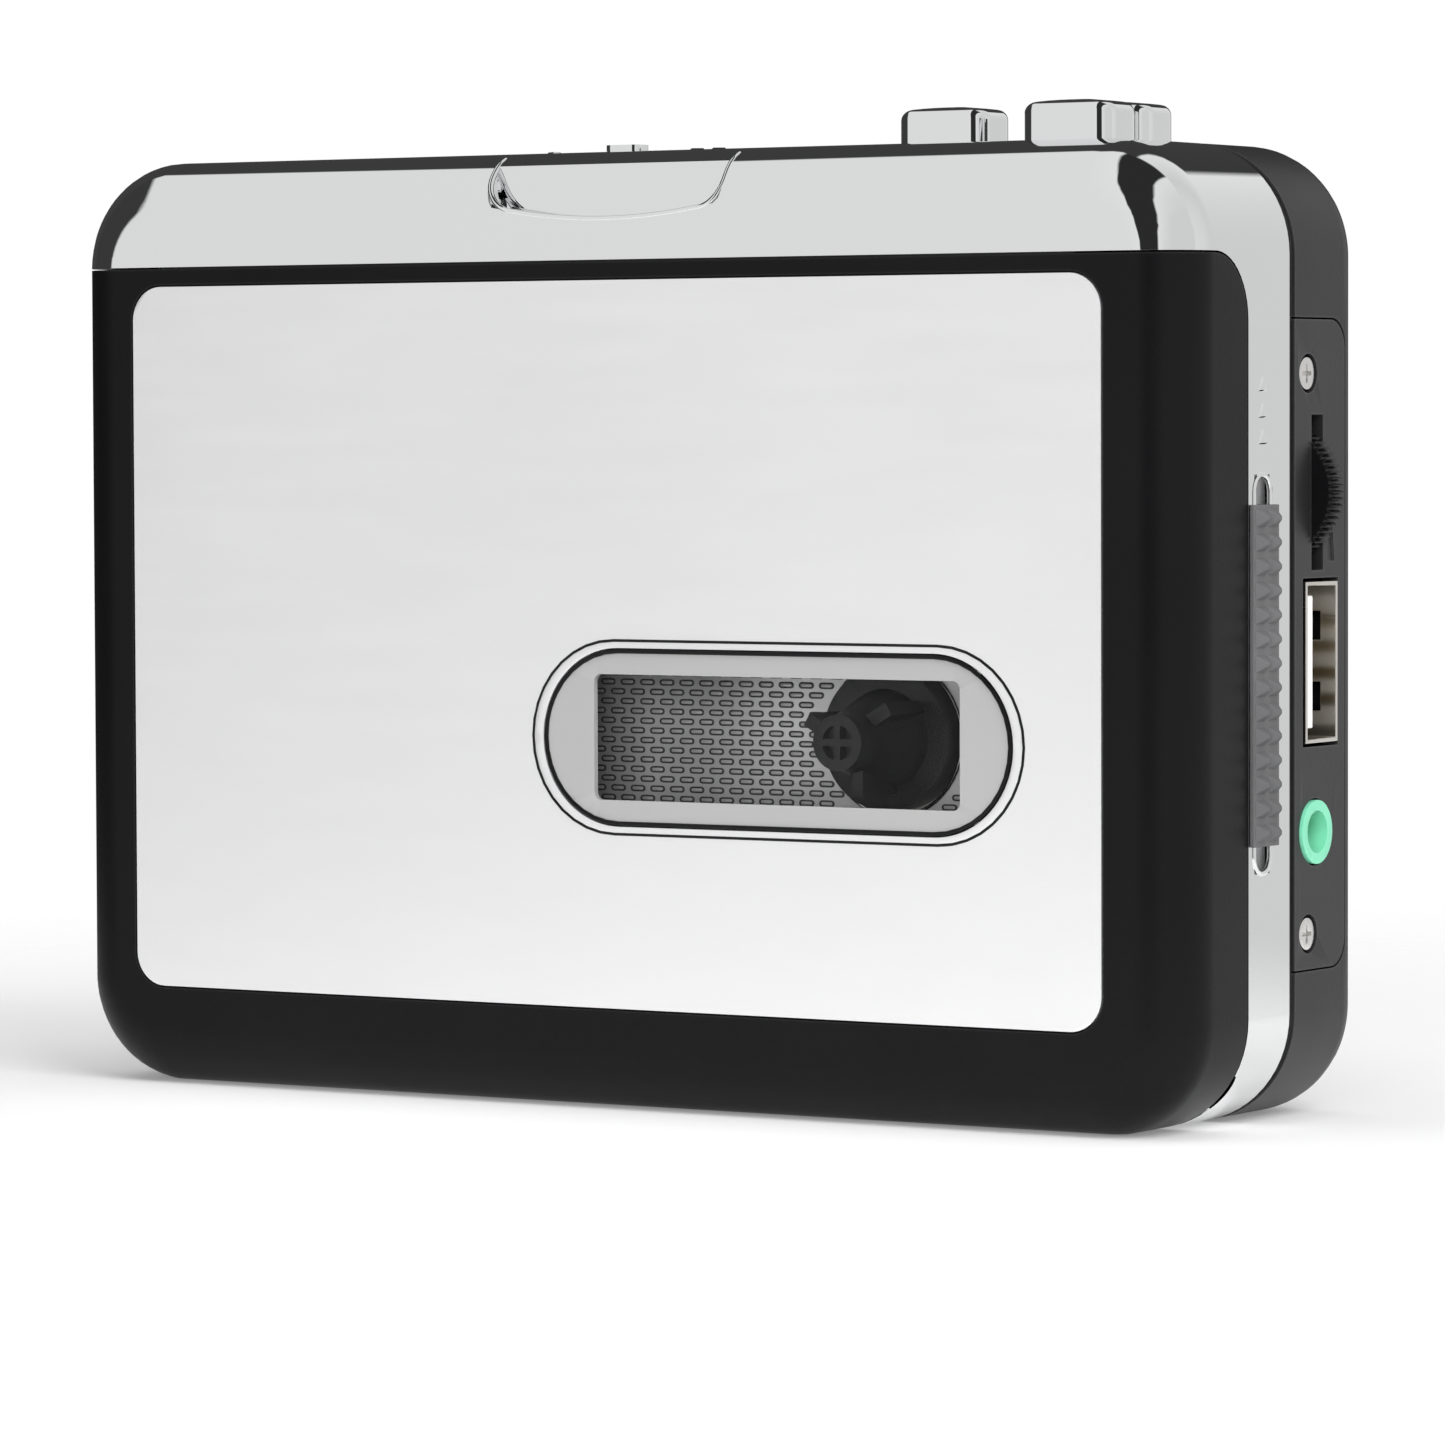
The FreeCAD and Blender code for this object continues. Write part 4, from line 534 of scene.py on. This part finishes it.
def tube(points, faces, path, radius, closed, sides=10):
    """Adds a round bead along a path of points; an open path tapers away at both ends."""
    first = len(points)
    count = len(path)
    not_along_any_path, taper = Vector((0.31, 0.17, 0.93)), 0.3
    for index, spot in enumerate(path):
        before = path[(index - 1) % count] if closed or index else spot
        after = path[(index + 1) % count] if closed or index < count - 1 else spot
        along = (after - before).normalized()
        side = along.cross(not_along_any_path).normalized()
        lift = along.cross(side)
        wide = radius if closed or 0 < index < count - 1 else radius * taper
        for turn in range(sides):
            angle = 2 * math.pi * turn / sides
            points.append(spot + wide * (math.cos(angle) * side + math.sin(angle) * lift))
    rings = count if closed else count - 1
    for ring in range(rings):
        start, end = first + ring * sides, first + (ring + 1) % count * sides
        for turn in range(sides):
            after = (turn + 1) % sides
            faces.append((start + turn, start + after, end + after, end + turn))
    if not closed:
        faces.append(tuple(range(first + sides - 1, first - 1, -1)))
        faces.append(tuple(range(first + (count - 1) * sides, first + count * sides)))


def rounded_loop(centre, half_x, half_y, radius, height_of, steps=8):
    """A level rounded rectangle of points, anticlockwise from the right."""
    loop = []
    for quarter, (sx, sy) in enumerate(((1, 1), (-1, 1), (-1, -1), (1, -1))):
        for step in range(steps + 1):
            angle = math.radians(90 * quarter + 90 * step / steps)
            x = centre.x + sx * (half_x - radius) + radius * math.cos(angle)
            y = centre.y + sy * (half_y - radius) + radius * math.sin(angle)
            loop.append(Vector((x, y, height_of(x))))
    return loop


# ---- the well and the window -----------------------------------------------------------------

def oval(centre, half_long, half_tall, steps=4):
    """A lying oval with round ends, anticlockwise as seen from the front."""
    outline = []
    for end, first_angle in ((1, -90), (-1, 90)):
        for step in range(steps + 1):
            angle = math.radians(first_angle + 180 * step / steps)
            outline.append(centre + Vector((
                end * (half_long - half_tall) + half_tall * math.cos(angle), 0,
                half_tall * math.sin(angle))))
    return outline


REELS = ("take_up_spindle", "supply_spindle")


def dash_places():
    """Where the small dashes lie, in staggered rows over the plate behind the cassette."""
    across, up, border, half_long = 2.05 * MM, 0.85 * MM, 0.9 * MM, 0.66 * MM
    clear_of_reel, clear_of_capstan = 7.6 * MM, 2.4 * MM
    plate_low, plate_high = low("well_plate"), high("well_plate")
    holes = [(middle(node), clear_of_reel) for node in REELS]
    holes.append((middle("capstan_shaft"), clear_of_capstan))
    rows = int((plate_high.z - plate_low.z - 2 * border) / up)
    columns = int((plate_high.x - plate_low.x - 2 * border) / across)
    for row in range(rows):
        for column in range(columns):
            x = plate_low.x + border + (column + 0.5 + 0.5 * (row % 2)) * across
            z = plate_low.z + border + (row + 0.5) * up
            near_hole = any(math.hypot(x - hole.x, z - hole.z) < clear for hole, clear in holes)
            if not near_hole and x + half_long <= plate_high.x - border / 2:
                yield Vector((x, plate_low.y, z))


def well_dashes():
    """Small bright dashes on the plate behind the cassette, each on a dark flat sheet of painted
    shade.
    """
    # half the length, half the height and the rise in mm, and how much of that its top keeps
    sizes = (("well_dashes", "well_steel", MATERIALS["well_steel"], 0.62, 0.15, 0.15, 0.72),
             # the second entry is a dark sheet under each dash: painted shade along the dash's
             # edge, not a part of the sheet
             ("dash_painted_shade", "zinc_plate", painted_dash_shade(), 0.80, 0.29, 0.04, 0.94))
    for name, slot, material, half_long, half_tall, rise, shrink in sizes:
        points, faces = [], []
        for place in dash_places():
            raise_outline(points, faces, oval(place, half_long * MM, half_tall * MM), OUT,
                          rise * MM, shrink, place)
        make_piece(name, points, faces, material, "case")


def ring_path(centre, radius, steps=48):
    """A circle that faces the front."""
    return [centre + radius * Vector((math.cos(2 * math.pi * step / steps), 0,
                                      math.sin(2 * math.pi * step / steps)))
            for step in range(steps)]


def reel_hole_rims():
    """A rolled bright rim round each hole that a reel comes through."""
    radius, thick = 6.75 * MM, 0.2 * MM
    points, faces = [], []
    for node in REELS:
        centre = middle(node)
        centre.y = low("well_plate").y
        tube(points, faces, ring_path(centre, radius), thick, closed=True)
    make_piece("reel_hole_rims", points, faces, MATERIALS["head_metal"], "case")


def pill_path(half_wide, half_tall, y, steps=18):
    """The outline of the window: two half circles joined by straight runs."""
    centre = middle("window_ring")
    path = []
    for side, first_angle in ((1, -90), (-1, 90)):
        for step in range(steps + 1):
            angle = math.radians(first_angle + 180 * step / steps)
            path.append(Vector((
                centre.x + side * (half_wide - half_tall) + half_tall * math.cos(angle), y,
                centre.z + half_tall * math.sin(angle))))
    return path


def window_lines():
    """The dark joint lines outside and inside the silver ring."""
    face = low("door_plate").y
    points, faces = [], []
    # how far outside the node the line runs, its radius, and its depth, in mm
    for node, grow, wide, sink in (("window_ring", 0.06, 0.13, 0.02),
                                   ("window_mask", 0.14, 0.19, 0.05)):
        half = (high(node) - low(node)) / 2
        path = pill_path(half.x + grow * MM, half.z + grow * MM, face + sink * MM)
        tube(points, faces, path, wide * MM, closed=True)
    make_piece("window_lines", points, faces, MATERIALS["door_black"], "door")


# ---- the latch on the right side and the springs ---------------------------------------------

def latch_slide():
    """The bright strip that the latch carries behind its slot."""
    half_wide, thick, below, above = 1.6 * MM, 0.6 * MM, 3.3 * MM, 3.5 * MM
    inner = high("latch_plate").x + FIT
    row = middle("open_slider").y
    points, faces = [], []
    add_block(points, faces,
              Vector((inner, row - half_wide, low("open_slider").z - below)),
              Vector((inner + thick, row + half_wide, high("open_slider").z + above)))
    make_piece("latch_slide", points, faces, MATERIALS["well_steel"], "open_latch", 0.1)


def spring(node):
    """A coil of wire between the ends of a spring's part, fixed to the case."""
    wire, turns, steps = 0.35 * MM, 5, 16
    foot, head, centre = low(node), high(node), middle(node)
    radius = (head.x - foot.x) / 2 - wire / 2
    path = []
    for step in range(turns * steps + 1):
        angle = 2 * math.pi * step / steps
        rise = foot.z + wire / 2 + (head.z - foot.z - wire) * step / (turns * steps)
        path.append(Vector((centre.x + radius * math.cos(angle),
                            centre.y + radius * math.sin(angle), rise)))
    points, faces = [], []
    tube(points, faces, path, wire / 2, closed=False, sides=8)
    piece = make_piece(node + "_coil", points, faces, MATERIALS["spring_steel"], "case")
    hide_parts(node)
    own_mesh(piece)


def well_cheeks():
    """Dark strips that close the gaps each side of the plate behind the cassette."""
    wide, back, above = 4.9 * MM, 0.7 * MM, 7 * MM
    plate_low, plate_high = low("well_plate"), high("well_plate")
    points, faces = [], []
    for side in (-1, 1):
        inner, outer = side * plate_high.x, side * (plate_high.x + wide)
        add_block(points, faces,
                  Vector((min(inner, outer), plate_low.y + FIT, plate_low.z)),
                  Vector((max(inner, outer), plate_low.y + back, plate_high.z + above)))
    make_piece("well_cheeks", points, faces, MATERIALS["inner_black"], "case", 0.1)


def door_gap_shade():
    """Painted shade: a dark strip behind the joint between the door's top edge and the fixed upper
    part, which hides the bright parts behind the joint so that the joint shows only as shade.
    """
    half_wide, half_tall, depth, thick = 46 * MM, 1.2 * MM, 1.3 * MM, 0.35 * MM
    inside = low("chrome_frame").y + depth
    joint = high("door").z
    points, faces = [], []
    add_block(points, faces, Vector((-half_wide, inside, joint - half_tall)),
              Vector((half_wide, inside + thick, joint + half_tall)))
    make_piece("door_gap_shade", points, faces, MATERIALS["inner_black"], "case", 0.08)


def grip_pad():
    """The latch's ribbed pad: a soft block with two columns of blunt pyramids, on a neck."""
    rows, columns, border, inset = 14, 2, 0.12 * MM, 1.2 * MM
    thick, rise, top_share = 0.4 * MM, 0.8 * MM, 0.22
    wide_share, tall_share = 0.38, 0.36  # half a pyramid's foot, as shares of the spacing
    pad_low, pad_high = low("open_slider"), high("open_slider")
    front, back = pad_low.y, pad_high.y
    bottom, top = pad_low.z, pad_high.z
    foot = high("chrome_frame").x + FIT
    face = foot + thick
    points, faces = [], []
    add_block(points, faces, Vector((foot, front, bottom)), Vector((face, back, top)))
    add_block(points, faces, Vector((high("latch_plate").x, front + inset, bottom + inset)),
              Vector((foot, back - inset, top - inset)))
    step_z = (top - bottom - 2 * border) / rows
    step_y = (back - front - 2 * border) / columns
    for row in range(rows):
        for column in range(columns):
            centre = Vector((face, front + border + (column + 0.5) * step_y,
                             bottom + border + (row + 0.5) * step_z))
            half_y, half_z = wide_share * step_y, tall_share * step_z
            outline = [centre + Vector((0, sy * half_y, sz * half_z))
                       for sy, sz in ((-1, -1), (1, -1), (1, 1), (-1, 1))]
            raise_outline(points, faces, outline, RIGHT, rise, top_share, centre)
    piece = make_piece("grip_pad", points, faces, MATERIALS["slider_grey"], "open_latch", 0.08)
    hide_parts("open_slider")


# half the width and the length of the small raised triangles
MARK_HALF, MARK_LONG = 0.8 * MM, 1.3 * MM


def side_arrow():
    """Three small raised triangles above the latch, pointing the way it slides."""
    face = high("chrome_frame").x
    row = middle("open_slider").y
    first, spacing, rise, top_share = 5 * MM, 2.2 * MM, 0.2 * MM, 0.72
    points, faces = [], []
    for step in range(3):
        foot = high("open_slider").z + first + spacing * step
        outline = [Vector((face, row - MARK_HALF, foot)), Vector((face, row + MARK_HALF, foot)),
                   Vector((face, row, foot + MARK_LONG))]
        centre = sum(outline, Vector()) / 3
        raise_outline(points, faces, outline, RIGHT, rise, top_share, centre)
    make_piece("side_arrow", points, faces, MATERIALS["chrome"], "case", 0.04)


def slot_rim():
    """A bright bead round the slot that the latch slides in."""
    half, below, above = 1.45 * MM, 2.3 * MM, 2.5 * MM
    thick, sink, steps = 0.24 * MM, 0.04 * MM, 12
    face = high("chrome_frame").x - sink
    row = middle("open_slider").y
    slot_low, slot_high = low("open_slider").z - below, high("open_slider").z + above
    path = []
    for centre, first_angle in ((slot_high - half, 0), (slot_low + half, 180)):
        for step in range(steps + 1):
            angle = math.radians(first_angle + 180 * step / steps)
            path.append(Vector((face, row + half * math.cos(angle),
                                centre + half * math.sin(angle))))
    points, faces = [], []
    tube(points, faces, path, thick, closed=True)
    make_piece("slot_rim", points, faces, MATERIALS["chrome"], "case")


# ---- the scoop, the marks and the keys on top ------------------------------------------------

def scoop_rim():
    """The rounded lip along the D-shaped edge of the finger scoop."""
    half_wide, depth, bow, corner = 12 * MM, 5.9 * MM, 58 * MM, 2.8 * MM
    from_nub, fillet, thick, sink = 2.4 * MM, 5 * MM, 0.26 * MM, 0.22 * MM
    side_x = middle("control_nub").x + from_nub
    face, top = low("chrome_frame").y, high("chrome_frame").z
    bottom = top - depth

    def front_of(z):
        """The case's front surface at a height, which curves back near the top."""
        over = max(0, z - (top - fillet))
        return face + fillet - math.sqrt(max(0, fillet ** 2 - over ** 2))

    def bow_height(x):
        return bottom + bow - math.sqrt(bow ** 2 - x ** 2)

    path = []
    steps, corner_turn, below_top = 10, 84, 0.35 * MM
    # down the left side, round the corner, along the bow, and up the right side
    low_side = bow_height(half_wide - corner) + corner
    high_side = top - below_top
    for step in range(steps):
        path.append((-half_wide, high_side + (low_side - high_side) * step / steps))
    for step in range(steps):
        angle = math.radians(180 + corner_turn * step / steps)
        path.append((-half_wide + corner + corner * math.cos(angle),
                     low_side + corner * math.sin(angle)))
    inner = half_wide - corner
    for step in range(2 * steps + 1):
        x = -inner + 2 * inner * step / (2 * steps)
        path.append((x, bow_height(x)))
    path += [(-x, z) for x, z in reversed(path[:2 * steps])]
    spots = [Vector((side_x + x, front_of(z) + sink, z)) for x, z in path]
    points, faces = [], []
    tube(points, faces, spots, thick, closed=False, sides=16)
    make_piece("scoop_rim", points, faces, MATERIALS["chrome"], "case")


def stack_loops(loops):
    """The points and faces of a closed skin over loops of the same size, from foot to top."""
    points, faces = [], []
    size = len(loops[0])
    for loop in loops:
        points += loop
    for ring in range(len(loops) - 1):
        for spot in range(size):
            after = (spot + 1) % size
            a, b = ring * size, (ring + 1) * size
            faces.append((a + spot, a + after, b + after, b + spot))
    faces.append(tuple(reversed(range(size))))
    faces.append(tuple(range((len(loops) - 1) * size, len(loops) * size)))
    return points, faces


def key_piece(node, body):
    """A polished key: a crowned cap with rounded edges, its flange, and its stem if any."""
    flange, flange_tall, flange_corner = 0.6 * MM, 1.2 * MM, 0.3 * MM
    half_x, half_y, corner = 4.3 * MM, 2.7 * MM, 1.4 * MM
    round_edge, edge_steps, crown = 0.75 * MM, 6, 22 * MM
    # the stem's half width, its front and back faces, and how far it goes into the flange
    stem_half, stem_front, stem_back, stem_in = 1.5 * MM, 0.05 * MM, 1.15 * MM, 0.5 * MM
    box_low, box_high = low(node), high(node)
    centre = Vector((middle(node).x, box_high.y - half_y - flange + FIT, 0))
    foot = low("play_key").z  # the play key has no stem, so its box starts at its flange

    def crowned(drop):
        return lambda x: (box_high.z - drop - crown
                          + math.sqrt(crown ** 2 - (x - centre.x) ** 2))

    def level(z):
        return lambda x: z

    over = foot + flange_tall
    loops = [rounded_loop(centre, half_x + flange, half_y + flange, flange_corner, level(foot)),
             rounded_loop(centre, half_x + flange, half_y + flange, flange_corner, level(over)),
             rounded_loop(centre, half_x, half_y, corner, level(over))]
    for step in range(edge_steps + 1):
        angle = math.radians(90 * step / edge_steps)
        inset = round_edge * (1 - math.cos(angle))
        drop = round_edge * (1 - math.sin(angle))
        loops.append(rounded_loop(centre, half_x - inset, half_y - inset, corner - inset,
                                  crowned(drop)))
    for part in (0.75, 0.5, 0.25):
        inside = (half_x - round_edge) * part, (half_y - round_edge) * part
        loops.append(rounded_loop(centre, *inside, (corner - round_edge) * part, crowned(0)))
    points, faces = stack_loops(loops)
    if box_low.z < foot - MM:
        add_block(points, faces, Vector((centre.x - stem_half, stem_front, box_low.z)),
                  Vector((centre.x + stem_half, stem_back, foot + stem_in)))
    piece = make_piece(node + "_polished", points, faces, MATERIALS["chrome"], body)
    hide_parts(node)


def top_marks():
    """Small raised triangles each side of the control nub."""
    rise, top_share = 0.22 * MM, 0.7
    face = high("chrome_frame").z
    nub = middle("control_nub")
    points, faces = [], []
    # where each triangle starts, in mm from the nub, and the way it points
    for side, sign in ((-7.2, -1), (6.8, 1), (9.0, 1)):
        start = nub.x + side * MM
        outline = [Vector((start, nub.y - MARK_HALF, face)),
                   Vector((start + sign * MARK_LONG, nub.y, face)),
                   Vector((start, nub.y + MARK_HALF, face))]
        if sign < 0:
            outline.reverse()
        centre = sum(outline, Vector()) / 3
        raise_outline(points, faces, outline, UP, rise, top_share, centre)
    make_piece("top_marks", points, faces, MATERIALS["chrome"], "case", 0.04)


# ---- the scene -------------------------------------------------------------------------------

for node_name in NODES:
    dress_cad(node_name)

well_dashes()
reel_hole_rims()
window_lines()
door_gap_shade()
latch_slide()
well_cheeks()
spring("play_spring")
spring("forward_spring")
spring("stop_spring")
spring("latch_spring")
grip_pad()
side_arrow()
top_marks()
slot_rim()
scoop_rim()
key_piece("play_key", "play_button")
key_piece("forward_key", "forward_button")
key_piece("stop_key", "stop_button")

add_camera()
add_world()
add_floor()
# azimuth and elevation in degrees, distance and size in metres, power in watts
area_light("key_right", 62, 38, 0.9, 0.5, 4.5)
area_light("low_front", 24, 6, 1.0, 0.4, 5.2)
area_light("top", -10, 80, 0.9, 0.8, 3.0)
bpy.context.scene.view_settings.view_transform = "Standard"
